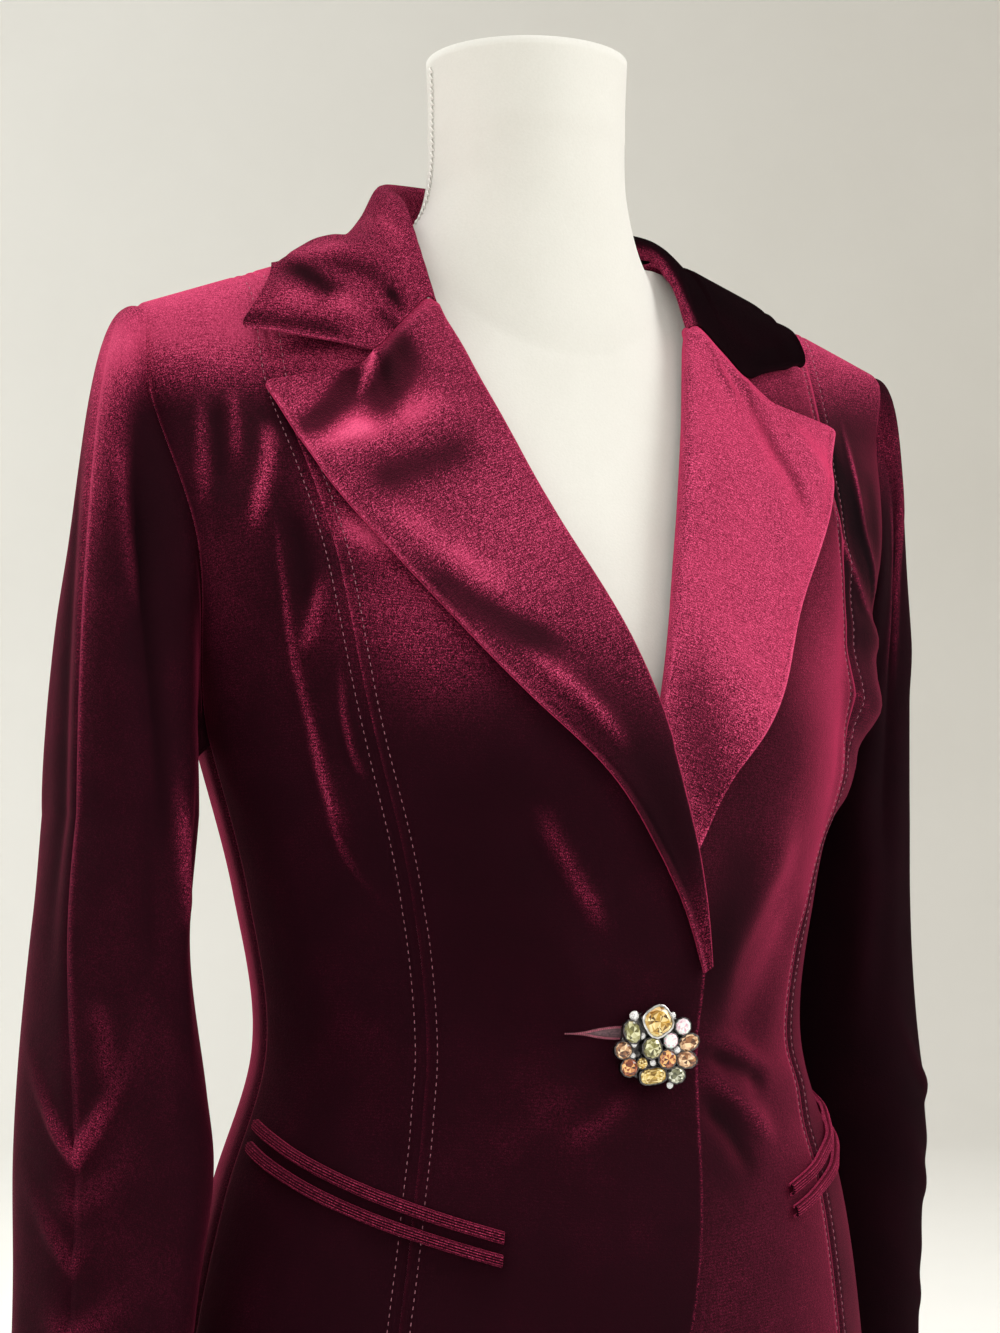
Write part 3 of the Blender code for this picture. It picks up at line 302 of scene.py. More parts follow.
# Creases, as a list: a path in millimetres, its rise, its width on each side, and how much painted highlight
# lies along it, which is painted shade where it is below zero
Crease = namedtuple("Crease", "path rise right left glow")
LONG_CREASE = ((146, 532), (140, 494), (131, 457), (124, 431), (116, 406))
FRONT_CREASES = {
    "right": (
        Crease(((147, 560), *LONG_CREASE, (97, 377)), 1.0, 10.0, 4.0, 0.0),
        Crease(((147, 556), *LONG_CREASE, (99, 379)), 1.3, 2.3, 1.6, 0.27),
        Crease(((134, 466), (127, 440), (114, 412)), 0.7, 3.0, 2.0, 0.14),
        Crease(((125, 490), (123, 466), (119, 449), (113, 437)), 1.2, 2.0, 1.6, 0.27),
        Crease(((146, 592), (147, 576), (152, 557), (156, 538)), 2.6, 5.5, 4.5, 0.46),
        Crease(((131, 526), (134, 505), (138, 490)), 1.5, 4.5, 3.5, 0.30),
        Crease(((140, 556), (138, 530), (135, 505)), -1.8, 6.0, 6.0, -0.10),
        Crease(((169, 604), (171, 575), (171, 548)), 1.4, 4.0, 3.5, 0.22),
        Crease(((157, 606), (158, 588), (160, 566)), 1.5, 4.0, 3.5, 0.24),
        Crease(((164, 602), (165, 580), (166, 552)), -1.6, 4.5, 4.5, -0.06),
        Crease(((166, 500), (160, 473), (152, 442), (146, 416)), 1.3, 5.0, 4.0, 0.10),
        Crease(((58, 434), (47, 414), (35, 393), (22, 372)), 1.7, 6.0, 5.5, 0.26),
        Crease(((86, 386), (60, 356), (26, 336)), -1.2, 9.0, 9.0, 0.0),
        Crease(((46, 286), (28, 298), (10, 312)), 1.4, 7.0, 8.0, 0.11),
        Crease(((80, 276), (52, 300), (22, 320)), 1.2, 9.0, 9.0, 0.05),
    ),
    "left": (
        Crease(((18, 334), (40, 326), (66, 312)), 2.0, 5.0, 5.0, 0.10),
        Crease(((22, 328), (46, 318), (62, 307)), -2.6, 5.0, 5.0, -0.22),
        Crease(((18, 320), (42, 303), (66, 283)), 2.6, 5.0, 6.0, 0.18),
        Crease(((20, 308), (36, 292), (50, 270)), -2.2, 7.0, 6.0, -0.20),
        Crease(((76, 420), (50, 385), (22, 345)), 1.4, 9.0, 9.0, 0.0),
        Crease(((155, 616), (154, 583), (156, 549), (163, 510)), 1.8, 1.8, 2.2, 0.66),
        Crease(((131, 588), (138, 553), (148, 527), (157, 508)), 1.3, 3.0, 2.6, 0.50),
        Crease(((138, 606), (142, 584), (147, 562), (152, 540)), -3.0, 10.0, 10.0, -0.72),
        Crease(((166, 590), (163, 560), (166, 530)), -1.4, 6.0, 6.0, -0.34),
        Crease(((126, 470), (121, 440), (112, 408)), 1.6, 5.0, 7.0, 0.05),
        Crease(((147, 506), (145, 474), (141, 446), (131, 412)), 10.0, 17.0, 17.0, 0.0),
        Crease(((160, 524), (157, 505), (152, 483), (146, 455)), 8.0, 16.0, 16.0, 0.0),
        Crease(((143, 503), (150, 499), (157, 492)), 0.3, 2.2, 2.2, 0.22),
        Crease(((142, 490), (150, 485), (157, 476)), 0.2, 2.6, 2.2, 0.18),
        Crease(((139, 474), (147, 470), (154, 462)), 0.3, 2.2, 2.8, 0.20),
        Crease(((128, 486), (136, 478), (143, 464)), 0.5, 2.4, 2.8, 0.10),
        Crease(((127, 466), (135, 458), (140, 442)), 0.6, 2.6, 3.0, 0.12),
        Crease(((125, 450), (131, 441), (135, 428)), 0.5, 2.2, 2.8, 0.10),
    ),
}
BACK_CREASES = {
    "right": (
        Crease(((150, 560), (132, 510), (118, 450)), 2.4, 8.0, 8.0, 0.15),
        Crease(((60, 420), (86, 380), (116, 340)), 2.2, 9.0, 9.0, 0.12),
        Crease(((14, 372), (54, 352), (104, 322)), -2.2, 9.0, 9.0, -0.08),
        Crease(((18, 330), (60, 322), (110, 300)), 1.9, 8.0, 9.0, 0.12),
    ),
    "left": (
        Crease(((152, 552), (136, 500), (124, 440)), 2.2, 8.0, 8.0, 0.15),
        Crease(((50, 410), (80, 376), (114, 346)), 2.0, 9.0, 9.0, 0.12),
        Crease(((20, 366), (64, 346), (108, 326)), -2.0, 9.0, 9.0, -0.08),
        Crease(((14, 322), (52, 318), (102, 306)), 2.1, 8.0, 9.0, 0.12),
    ),
}
LAPEL_CREASES = {
    "right": (
        Crease(((98, 624), (101, 614), (104, 606), (109, 596)), 2.6, 3.2, 3.2, 0.60),
        Crease(((100, 618), (111, 603), (124, 590), (139, 579)), -2.4, 11.0, 9.0, -0.78),
        Crease(((80, 628), (88, 612), (97, 597), (107, 582)), -2.6, 12.0, 10.0, -0.78),
        Crease(((144, 571), (118, 582), (92, 591), (60, 602)), 2.2, 11.0, 10.0, 0.40),
        Crease(((118, 558), (97, 567), (74, 575), (54, 584)), -1.8, 15.0, 14.0, -0.35),
        Crease(((110, 557), (90, 540), (70, 523), (54, 508)), 1.5, 10.0, 11.0, 0.24),
        Crease(((100, 537), (80, 517), (58, 499), (36, 484)), -1.3, 9.0, 17.0, -0.38),
        Crease(((64, 495), (48, 478), (33, 464), (16, 447)), 1.6, 5.0, 4.4, 0.36),
    ),
    "left": (
        Crease(((95, 622), (97, 595), (107, 577), (109, 556)), -2.2, 6.0, 5.0, -0.36),
        Crease(((110, 606), (122, 590), (130, 574)), 1.6, 6.0, 6.0, 0.06),
        Crease(((74, 630), (78, 618), (86, 606)), 1.2, 3.0, 3.0, -0.20),
        Crease(((80, 600), (92, 560), (90, 530)), 1.2, 12.0, 12.0, 0.0),
        Crease(((40, 500), (50, 470), (44, 440)), 1.2, 8.0, 8.0, 0.0),
    ),
}
COLLAR_CREASES = {
    "right": (
        Crease(((128, 667), (118, 655), (109, 644)), -1.5, 12.0, 13.0, -0.44),
        Crease(((116, 666), (102, 663), (90, 658), (80, 648)), -1.0, 9.0, 8.0, -0.24),
        Crease(((88, 654), (83, 647), (78, 639)), -1.6, 5.5, 5.5, -0.46),
        Crease(((95, 643), (89, 637), (83, 630)), -1.3, 5.0, 5.0, -0.30),
        Crease(((146, 640), (127, 645), (109, 644), (95, 640)), 1.2, 8.0, 9.0, 0.20),
        Crease(((128, 660), (116, 669), (104, 672), (92, 678)), 0.8, 5.0, 6.0, 0.18),
        Crease(((70, 645), (71, 664), (73, 680), (77, 698)), 0.5, 8.0, 9.0, 0.20),
    ),
    "left": (
        Crease(((84, 660), (92, 648), (104, 640)), 1.2, 5.0, 5.0, 0.05),
        Crease(((112, 650), (116, 640), (120, 632)), -1.2, 5.0, 5.0, 0.0),
    ),
}
# Creases of a sleeve: degrees from the overarm seam, front or back, and heights in millimetres
SLEEVE_CREASES = {
    "right": (
        Crease(((2, 650), (2, 560), (2, 470), (2, 380), (2, 180)), 1.0, 1.6, 2.0, 0.26),
        Crease(((44, 604), (56, 530), (68, 450), (76, 390)), -0.8, 9.0, 9.0, -0.12),
        Crease(((22, 592), (36, 545), (48, 502)), 1.8, 6.0, 6.0, 0.18),
        Crease(((-14, 600), (-16, 530), (-18, 440), (-16, 340)), -1.8, 6.0, 5.0, -0.12),
        Crease(((-48, 560), (-58, 470), (-64, 380)), 2.4, 9.0, 9.0, 0.12),
        Crease(((84, 444), (90, 412), (96, 392), (102, 372)), 2.6, 5.0, 4.0, 0.34),
        Crease(((104, 452), (108, 410), (112, 376)), -2.2, 6.0, 6.0, -0.12),
        Crease(((50, 450), (58, 400), (64, 340)), -1.6, 8.0, 8.0, -0.04),
        Crease(((-100, 470), (-112, 410), (-120, 330)), 2.4, 9.0, 9.0, 0.10),
        Crease(((18, 352), (21, 334), (22, 312)), 1.4, 6.0, 6.0, 0.14),
        Crease(((72, 350), (66, 318), (54, 292)), 1.8, 8.0, 8.0, 0.03),
    ),
    "left": (
        Crease(((22, 604), (40, 545), (50, 470)), 2.2, 3.5, 6.0, 0.30),
        Crease(((54, 590), (68, 535), (78, 470)), 2.4, 3.5, 6.0, 0.30),
        Crease(((4, 590), (8, 530), (14, 480)), 1.8, 4.0, 6.0, 0.25),
        Crease(((-44, 560), (-54, 470), (-62, 380)), 2.4, 9.0, 9.0, 0.12),
        Crease(((76, 420), (84, 380), (90, 320)), 2.0, 9.0, 9.0, 0.05),
        Crease(((-100, 470), (-112, 410), (-120, 330)), 2.4, 9.0, 9.0, 0.10),
    ),
}
# Patches of painted light and shade on the pile: a place in millimetres, half sizes, turn, and how much
# lighter the pile is painted there, which is painted shade below zero
PaintedLightPatch = namedtuple("PaintedLightPatch", "x z half_x half_z turn level")
FRONT_PAINTED_LIGHT = {
    "right": (
        PaintedLightPatch(113, 541, 15, 8, 28, 0.62),
        PaintedLightPatch(100, 512, 26, 24, 0, 0.31),
        PaintedLightPatch(84, 484, 24, 22, 0, 0.14),
        PaintedLightPatch(122, 566, 16, 18, 0, 0.22),
        PaintedLightPatch(118, 626, 22, 5, -10, -0.40),
        PaintedLightPatch(70, 400, 50, 60, 0, -0.06),
        PaintedLightPatch(166, 515, 14, 50, 0, 0.10),
        PaintedLightPatch(70, 190, 90, 60, 0, -0.07),
    ),
    "left": (
        PaintedLightPatch(36, 372, 13, 42, -12, -0.22),
        PaintedLightPatch(74, 392, 18, 40, 0, 0.10),
        PaintedLightPatch(114, 498, 24, 50, 0, 0.16),
        PaintedLightPatch(34, 288, 14, 22, 0, -0.20),
        PaintedLightPatch(162, 548, 24, 52, -8, -0.44),
    ),
}
LAPEL_PAINTED_LIGHT = {
    "right": (
        PaintedLightPatch(112, 590, 30, 14, 10, 0.22),
        PaintedLightPatch(50, 545, 26, 34, 30, 0.10),
        PaintedLightPatch(6, 416, 32, 48, 0, -0.50),
        PaintedLightPatch(34, 468, 30, 26, 40, -0.22),
    ),
    "left": (
        PaintedLightPatch(20, 462, 16, 34, 0, -0.34),
        PaintedLightPatch(32, 430, 22, 24, 0, -0.28),
        PaintedLightPatch(100, 612, 26, 12, 0, -0.05),
    ),
}
SLEEVE_PAINTED_LIGHT = {
    "right": (
        PaintedLightPatch(4, 598, 18, 50, 0, 0.34),
        PaintedLightPatch(18, 626, 34, 22, 0, 0.50),
        PaintedLightPatch(0, 540, 7, 80, 0, 0.20),
        PaintedLightPatch(40, 550, 14, 50, 0, -0.10),
    ),
    "left": (PaintedLightPatch(30, 612, 44, 34, 0, 0.40), PaintedLightPatch(24, 556, 30, 40, 0, 0.14)),
}
# Painted highlight on the shoulder tops: how much lighter, the height where it starts and the height where it
# is full
ShoulderHighlight = namedtuple("ShoulderHighlight", "level start full")
SHOULDER_HIGHLIGHTS = {
    "right": ShoulderHighlight(0.66, 0.590, 0.630),
    "left": ShoulderHighlight(0.48, 0.602, 0.650),
    "back": ShoulderHighlight(0.44, 0.592, 0.640),
}
GLOW_SHARE = 0.62
CREASE_FADE = 3.2
CREASE_TO_SHARE = 0.90
DEGREE_MM = 0.62
# Gathers along the overarm seam: height there, rise, reach each way, how steeply it climbs, width
Gather = namedtuple("Gather", "height rise front back climb width")
GATHERS = {
    "right": (
        Gather(0.2880, 0.0038, 27.0, 24.0, 0.00105, 0.0044),
        Gather(0.2680, 0.0012, 30.0, 9.0, 0.00060, 0.0058),
        Gather(0.2450, 0.0020, 8.0, 26.0, 0.00090, 0.0048),
        Gather(0.2170, 0.0020, 33.0, 13.0, 0.00035, 0.0060),
        Gather(0.1885, 0.0013, 12.0, 24.0, 0.00065, 0.0050),
    ),
    "left": (
        Gather(0.2890, 0.0024, 32.0, 16.0, 0.00085, 0.0050),
        Gather(0.2640, 0.0009, 16.0, 14.0, 0.00060, 0.0066),
        Gather(0.2410, 0.0016, 34.0, 9.0, 0.00070, 0.0054),
        Gather(0.2120, 0.0008, 18.0, 15.0, 0.00040, 0.0076),
        Gather(0.1880, 0.0012, 30.0, 10.0, 0.00050, 0.0058),
    ),
}
GATHER_PULL = 0.0022
LEFT_CUFF_IN = 0.005
LEFT_CUFF_FROM = 0.300
LEFT_CUFF_SPAN = 0.12
CAP_SEAM_SHARE = 0.22
GATHER_PULL_TURN = 10.0

# Light on sewn and turned edges
SEAM_LIGHT = {"right": 0.32, "left": 0.10}
SEAM_LIGHT_FROM = 0.40
SEAM_LIGHT_SPAN = 0.14
SEAM_LIGHT_LEAST = 0.35
SEAM_LIGHT_WIDE = 0.0010
FRONT_EDGE_LIGHT = 0.26
EDGE_LIGHT = 0.20
EDGE_LIGHT_WIDE = 0.0008

# How each piece's pile stands and leans; the left front and lapel are painted lighter and the left sleeve
# darker than the right ones, as painted light and shade
PANEL_PILE = {"right": 0.285, "left": 0.37}
PANEL_LEAN = {"right": (-0.20, 0.0, 0.40), "left": (0.20, -0.05, 0.40)}
BACK_PILE = 0.33
BACK_LEAN = (0.0, 0.05, 0.40)
LAPEL_PILE = {"right": 0.64, "left": 0.865}
LAPEL_LEAN = {"right": (0.0, 0.25, 0.55), "left": (0.30, 0.10, 0.30)}
COLLAR_PILE = 0.69
COLLAR_SHADE = 0.65
COLLAR_LEAN = {"right": (-0.30, -0.50, -0.20), "left": (-0.90, -0.90, -0.60)}
SLEEVE_PILE = {"right": 0.30, "left": 0.10}
SLEEVE_LEAN = {"right": (0.0, 0.0, 0.30), "left": (-0.25, -0.20, 0.10)}
WELT_PILE = 0.43
WELT_RIB_PILE = 0.34
PILE_STIR = 0.16
KNIT_PITCH = 0.0014
WINE_SHADES = (
    (0.00, (0.0042, 0.0008, 0.0018)),
    (0.24, (0.0155, 0.0016, 0.0046)),
    (0.48, (0.0800, 0.0060, 0.0190)),
    (0.64, (0.2200, 0.0180, 0.0525)),
    (0.80, (0.4600, 0.0430, 0.1130)),
    (1.00, (0.7600, 0.1000, 0.2200)),
)

# Lapel and collar: corners, layers and the seam between them
PEAK_ROUND = 0.0042
LAYER_ROOM = 0.0025
ROLL_FLAT = 0.6
GORGE_REACH = 0.030
GORGE_PUFF = 0.0011
GORGE_PUFF_AT = 0.0055
GORGE_PUFF_WIDE = 0.0030
TIP_ROUND = 0.0056
EDGE_SETTLE = 0.0014
EDGE_SETTLE_WIDE = 0.006
COLLAR_CLOTH = 0.0011
COLLAR_DEEPEST = -0.0016
NAPE_ROUND_ROWS = 10.0
NAPE_ROUND_TIMES = 30

# Welts, threads and the buttonhole
WELT_CLOTH = 0.0011
WELT_CLEAR = 0.0006
WELT_ROUND = 0.0030
WELT_RIB = 0.00030
WELT_WANDER = 0.0004
WELT_ROWS = 81
WELT_COLUMNS = 43
THREAD_PITCH = 0.0032
THREAD_LONG = 0.0019
THREAD_WIDE = 0.00028
HOLE_FROM = (0.0392, 0.3352)
HOLE_TO = (0.0120, 0.3350)
HOLE_GAPE = 0.0019
HOLE_LIP = 0.0011
OVERCAST_PITCH = 0.00086
NECK_SEAM_TURNS = (172.0, 8.0)

# The studio and the camera
FLOOR_RADIUS = 2.4
FLOOR_SIDES = 72
FLOOR_DROP = 0.0005
COVE = 1.0
WALL_TOP = 4.2
CAMERA_EYE = (-0.5726, -1.0546, 0.4194)
CAMERA_WAY = (0.4772, 0.8788)
CAMERA_UP = math.radians(3.51)
CAMERA_LEFT = math.radians(0.59)
CAMERA_LENS = 71.1

FRONT = -1.0
BACK = 1.0
SIDES = {"right": -1.0, "left": 1.0}


def mirror(side_name):
    """Takes points of a left half to the named side."""
    return np.array([SIDES[side_name], 1.0, 1.0])


def smooth(value):
    """A soft step from 0 to 1."""
    value = np.clip(value, 0.0, 1.0)
    return value * value * (3.0 - 2.0 * value)


def bell(away, width):
    """A soft bump, one high."""
    return np.exp(-((away / width) ** 2))


def hermite(knots, values, tangent, at):
    at = np.clip(np.asarray(at, float), knots[0], knots[-1])
    low = np.clip(np.searchsorted(knots, at, side="right") - 1, 0, len(knots) - 2)
    step = knots[low + 1] - knots[low]
    t = (at - knots[low]) / step
    here, there = (low,), (low + 1,)
    if values.ndim > 1:
        column = np.arange(values.shape[1])
        here, there = (low, column), (low + 1, column)
        t, step = t[:, None], step[:, None]
    return (
        values[here] * (1 + 2 * t) * (1 - t) ** 2
        + tangent[here] * step * t * (1 - t) ** 2
        + values[there] * t * t * (3 - 2 * t)
        + tangent[there] * step * t * t * (t - 1)
    )


def tangents(knots, values):
    """The slope between each two knots, and the smooth slope at each knot."""
    step = np.diff(knots).reshape((-1,) + (1,) * (values.ndim - 1))
    slope = np.diff(values, axis=0) / step
    tangent = np.empty_like(values)
    tangent[0], tangent[-1] = slope[0], slope[-1]
    tangent[1:-1] = (slope[1:] * step[:-1] + slope[:-1] * step[1:]) / (step[:-1] + step[1:])
    return slope, tangent


def spline(knots, values, at):
    """A smooth curve through values at knots."""
    knots = np.asarray(knots, float)
    values = np.asarray(values, float)
    return hermite(knots, values, tangents(knots, values)[1], at)


def splined(knots, table, at):
    """A smooth curve through the rows of a table."""
    return np.stack([spline(knots, column, at) for column in np.asarray(table, float).T], axis=1)


def run_of(path):
    """How far each point lies along a path."""
    return np.concatenate([[0], np.cumsum(np.linalg.norm(np.diff(path, axis=0), axis=1))])


def spots_at(path, run, at):
    """The places at these distances along a path."""
    return np.stack([np.interp(at, run, column) for column in path.T], axis=1)


def along(marks, at):
    return spline([m.height for m in marks], [m.value for m in marks], at)


class Figure:
    """A smooth body surface. A place on it is a share of the half width and a height."""

    def __init__(self, front, back, drop, neck_inset, round_from):
        self.levels = {FRONT: front, BACK: back}
        self.drop = drop
        self.neck_inset = neck_inset
        self.round_from = round_from

    def crown(self, share, facing):
        """The top row: round the neck, then along the shoulder seam."""
        middle = np.array(NECK_PIT if facing == FRONT else NAPE)
        middle[1] -= facing * self.neck_inset
        side = np.array(NECK_SIDE) - np.array([self.neck_inset, 0.0, 0.0])
        tip = np.array(SHOULDER_TIP)
        turn = np.clip(share / NECK_SHARE, 0, 1) * math.pi / 2
        out = np.clip((share - NECK_SHARE) / (1 - NECK_SHARE), 0, 1)[:, None]
        sine, cosine = np.sin(turn)[:, None], np.cos(turn)[:, None]
        neck = np.concatenate([side[:1] * sine, side[1:] + (middle - side)[1:] * cosine], axis=1)
        points = neck + (tip - side) * out
        points[:, 2] -= self.drop
        return points

    def point(self, share, height, facing):
        share = np.asarray(share, float).ravel()
        height = np.asarray(height, float).ravel()
        sign = np.where(share < 0, -1.0, 1.0)
        share = np.abs(share)
        rows = []
        for level in self.levels[facing]:
            turn = share * math.pi / 2
            r = level.roundness
            across = r * np.sin(turn) + (1 - r) * share
            inward = r * np.cos(turn) + (1 - r) * (1 - share)
            y = level.edge_y + (facing * level.depth - level.edge_y) * inward
            rows.append(np.stack([level.edge_x * across, y, np.full_like(y, level.height)], axis=1))
        rows.append(self.crown(share, facing))
        rows = np.stack(rows)
        knots = np.array([level.height for level in self.levels[facing]] + [CROWN_HEIGHT])
        slope, tangent = tangents(knots, rows)
        armhole = smooth((share - ARMHOLE_FROM_SHARE) / (1 - ARMHOLE_FROM_SHARE))[:, None]
        foot = [level.height for level in self.levels[facing]].index(UNDERARM_HEIGHT)
        tangent[foot] += (slope[foot - 1] - tangent[foot]) * armhole
        over = smooth((share - self.round_from) / ROUND_FADE)[:, None]
        round_over = np.array([0.0, -facing * SHOULDER_ROUND, 0.0])
        tangent[-1] = slope[-1] * (1 - over) + round_over * over
        points = hermite(knots, rows, tangent, height)
        if facing == FRONT:
            near = ((points[:, 0] - BUST_X) / BUST_WIDTH) ** 2
            near += ((points[:, 2] - BUST_HEIGHT) / BUST_SPAN) ** 2
            points[:, 1] -= BUST_RISE * np.exp(-near)
        points[:, 0] *= sign
        return points

    def normal(self, share, height, facing):
        step = 1e-3
        share = np.asarray(share, float).ravel()
        height = np.asarray(height, float).ravel()
        low = np.minimum(height, CROWN_HEIGHT - step)
        across = self.point(share + step, height, facing) - self.point(share - step, height, facing)
        up = self.point(share, low + step, facing) - self.point(share, low - step, facing)
        normal = np.cross(across, up) * -facing
        return normal / np.linalg.norm(normal, axis=1)[:, None]

    def lifted(self, share, height, facing, lift):
        lift = np.broadcast_to(np.asarray(lift, float).ravel(), np.shape(np.ravel(share)))
        return self.point(share, height, facing) + self.normal(share, height, facing) * lift[:, None]

    def seen_from_front(self, x, z):
        """The share and height of the points that the front view shows at x and z."""
        x = np.asarray(x, float).ravel()
        z = np.asarray(z, float).ravel()
        share = x / SHOULDER_TIP[0]
        height = np.clip(z, HEM_HEIGHT, CROWN_HEIGHT)
        step = 1e-4
        for _ in range(30):
            here = self.point(share, height, FRONT)
            by_share = (self.point(share + step, height, FRONT) - here) / step
            by_height = (here - self.point(share, height - step, FRONT)) / step
            miss_x = x - here[:, 0]
            miss_z = z - here[:, 2]
            area = by_share[:, 0] * by_height[:, 2] - by_height[:, 0] * by_share[:, 2]
            area = np.where(np.abs(area) < 1e-4, 1e-4, area)
            move_share = (miss_x * by_height[:, 2] - by_height[:, 0] * miss_z) / area
            move_height = (by_share[:, 0] * miss_z - miss_x * by_share[:, 2]) / area
            share = np.clip(share + np.clip(move_share, -0.1, 0.1), -0.99, 0.99)
            height = np.clip(height + np.clip(move_height, -0.02, 0.02), HEM_HEIGHT, CROWN_HEIGHT)
        return share, height


BLAZER = Figure(FRONT_LEVELS, BACK_LEVELS, 0.0, 0.0, NECK_SHARE - ROUND_EASE)


def crease_line(crease, pieces=48):
    last = len(crease.path) - 1
    return splined(range(last + 1), crease.path, np.linspace(0, last, pieces + 1))


def creased(x, y, creases):
    """The rise of the listed creases at places in millimetres, and the painted highlight along them, which is
    painted shade where its value is below zero.
    """
    x, y = np.ravel(x), np.ravel(y)
    rise = np.zeros(len(x))
    glow = np.zeros(len(x))
    for crease in creases:
        line = crease_line(crease)
        start, way = line[:-1], np.diff(line, axis=0)
        length = np.maximum((way**2).sum(axis=1), 1e-9)
        to_x = x[:, None] - start[:, 0]
        to_y = y[:, None] - start[:, 1]
        part = np.clip((to_x * way[:, 0] + to_y * way[:, 1]) / length, 0, 1)
        off_x = to_x - part * way[:, 0]
        off_y = to_y - part * way[:, 1]
        off = off_x**2 + off_y**2
        best = np.argmin(off, axis=1)
        pick = np.arange(len(x)), best
        far = np.sqrt(off[pick])
        side = way[best, 0] * off_y[pick] - way[best, 1] * off_x[pick]
        done = (best + part[pick]) / len(way)
        width = np.where(side > 0, crease.left, crease.right)
        fade = smooth(done * CREASE_FADE) * smooth((1 - done) * CREASE_FADE)
        rise += crease.rise * bell(far, width) * fade
        glow += crease.glow * bell(far, width * GLOW_SHARE) * fade
    return rise / 1000, glow


def painted_light_on_pile(x, z, naps):
    """How much lighter the patches of painted light make the pile at places in millimetres; below zero they
    are painted shade.
    """
    level = np.zeros(np.shape(x))
    for nap in naps:
        turn = math.radians(nap.turn)
        over = (x - nap.x) * math.cos(turn) + (z - nap.z) * math.sin(turn)
        up = (z - nap.z) * math.cos(turn) - (x - nap.x) * math.sin(turn)
        level += nap.level * np.exp(-((over / nap.half_x) ** 2) - (up / nap.half_z) ** 2)
    return level


def lap_rise(x, z):
    """How far the right front stands out at a place, for the left front and lapel under it."""
    share = smooth((LAP_END_X - np.asarray(x)) / (LAP_END_X - LAP_FULL_X))
    heights = [mark.height for mark in LAP_RISE]
    values = np.array([mark.value for mark in LAP_RISE])
    place = np.interp(z, heights, np.arange(len(heights)))
    low = np.minimum(place.astype(int), len(heights) - 2)
    return (values[low] + (values[low + 1] - values[low]) * smooth(place - low)) * share


def fold_rise(x, z):
    """The long folds of a front, each soft across and fading to its ends."""
    rise = np.zeros_like(x)
    for fold in FRONT_FOLDS:
        way = np.array([fold.low_x - fold.top_x, fold.low_z - fold.top_z])
        length = np.hypot(*way)
        way /= length
        on = (x - fold.top_x) * way[0] + (z - fold.top_z) * way[1]
        off = (x - fold.top_x) * way[1] - (z - fold.top_z) * way[0]
        fade = bell(off, fold.width)
        rise += fold.rise * fade * smooth(on / length * 4) * smooth((1 - on / length) * 4)
    return rise * smooth((x - FOLD_FROM_X) / FOLD_FADE)


def front_lift(side_name, x, z, share):
    """How far the seen face of a front stands off the figure, and the painted highlights and shade on its
    pile.
    """
    crease, glow = creased(x * 1000, z * 1000, FRONT_CREASES[side_name])
    fade = 1 - smooth((share - FOLD_TO_SHARE) / (1 - FOLD_TO_SHARE))
    crease_fade = 1 - smooth((share - CREASE_TO_SHARE) / (1 - CREASE_TO_SHARE))
    lift = fold_rise(x, z) * fade + crease * crease_fade
    if side_name == "right":
        lift = lift + lap_rise(x, z)
    glow = glow * crease_fade + painted_light_on_pile(x * 1000, z * 1000, FRONT_PAINTED_LIGHT[side_name])
    return lift, glow


def seam_dip(away):
    return -SEAM_DIP * bell(away, SEAM_SOFT)


def stitch_dip(away):
    return -STITCH_DIP * bell(away - STITCH_AWAY, STITCH_SOFT)


def edge_lip(away):
    """The fuller turned edge of a lapel or collar and the press line inside it."""
    return LIP_RISE * bell(away, LIP_WIDE) - PRESS_DEEP * bell(away - PRESS_AWAY, PRESS_WIDE)


def row_lengths(grid):
    """How far each point lies along its row."""
    step = np.linalg.norm(np.diff(grid, axis=1), axis=2)
    return np.concatenate([np.zeros((len(grid), 1)), np.cumsum(step, axis=1)], axis=1)


def column_lengths(grid):
    return row_lengths(grid.swapaxes(0, 1)).swapaxes(0, 1)


def rounded_corner(grid, from_end, radius, start=0.6):
    """Rows near an end drawn in at their last column, so that the outer corner is round."""
    run = row_lengths(grid)
    short = np.clip(radius - from_end[:, -1], 0.0, radius)
    inset = radius - np.sqrt(radius**2 - short**2)
    rounded = grid.copy()
    for row in np.flatnonzero(inset > 1e-6):
        long = run[row, -1]
        part = np.clip((run[row] / long - start) / (1.0 - start), 0.0, 1.0)
        at = run[row] - part * inset[row]
        rounded[row] = spots_at(grid[row], run[row], at)
    return rounded


def grid_normals(grid):
    over = np.gradient(grid, axis=1)
    down = np.gradient(grid, axis=0)
    normal = np.cross(over, down)
    return normal / np.maximum(np.linalg.norm(normal, axis=2, keepdims=True), 1e-12)


def grid_faces(rows, columns):
    index = np.arange(rows * columns).reshape(rows, columns)
    corners = (index[:-1, :-1], index[:-1, 1:], index[1:, 1:], index[1:, :-1])
    return np.stack(corners, axis=-1).reshape(-1, 4)


def linked(name, mesh, finish):
    """A new object in the scene for a mesh."""
    mesh.materials.clear()
    mesh.materials.append(finish)
    piece = bpy.data.objects.new(name, mesh)
    bpy.context.scene.collection.objects.link(piece)
    return piece


def mesh_piece(name, points, faces, finish):
    mesh = bpy.data.meshes.new(name)
    mesh.from_pydata(np.asarray(points).tolist(), [], np.asarray(faces).tolist())
    mesh.polygons.foreach_set("use_smooth", np.ones(len(mesh.polygons), bool))
    return linked(name, mesh, finish)


def belongs(piece, node=None):
    """Puts a piece on the part's one body, and in place of a CAD node if it has one."""
    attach(piece, "root")
    if node:
        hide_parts(node)


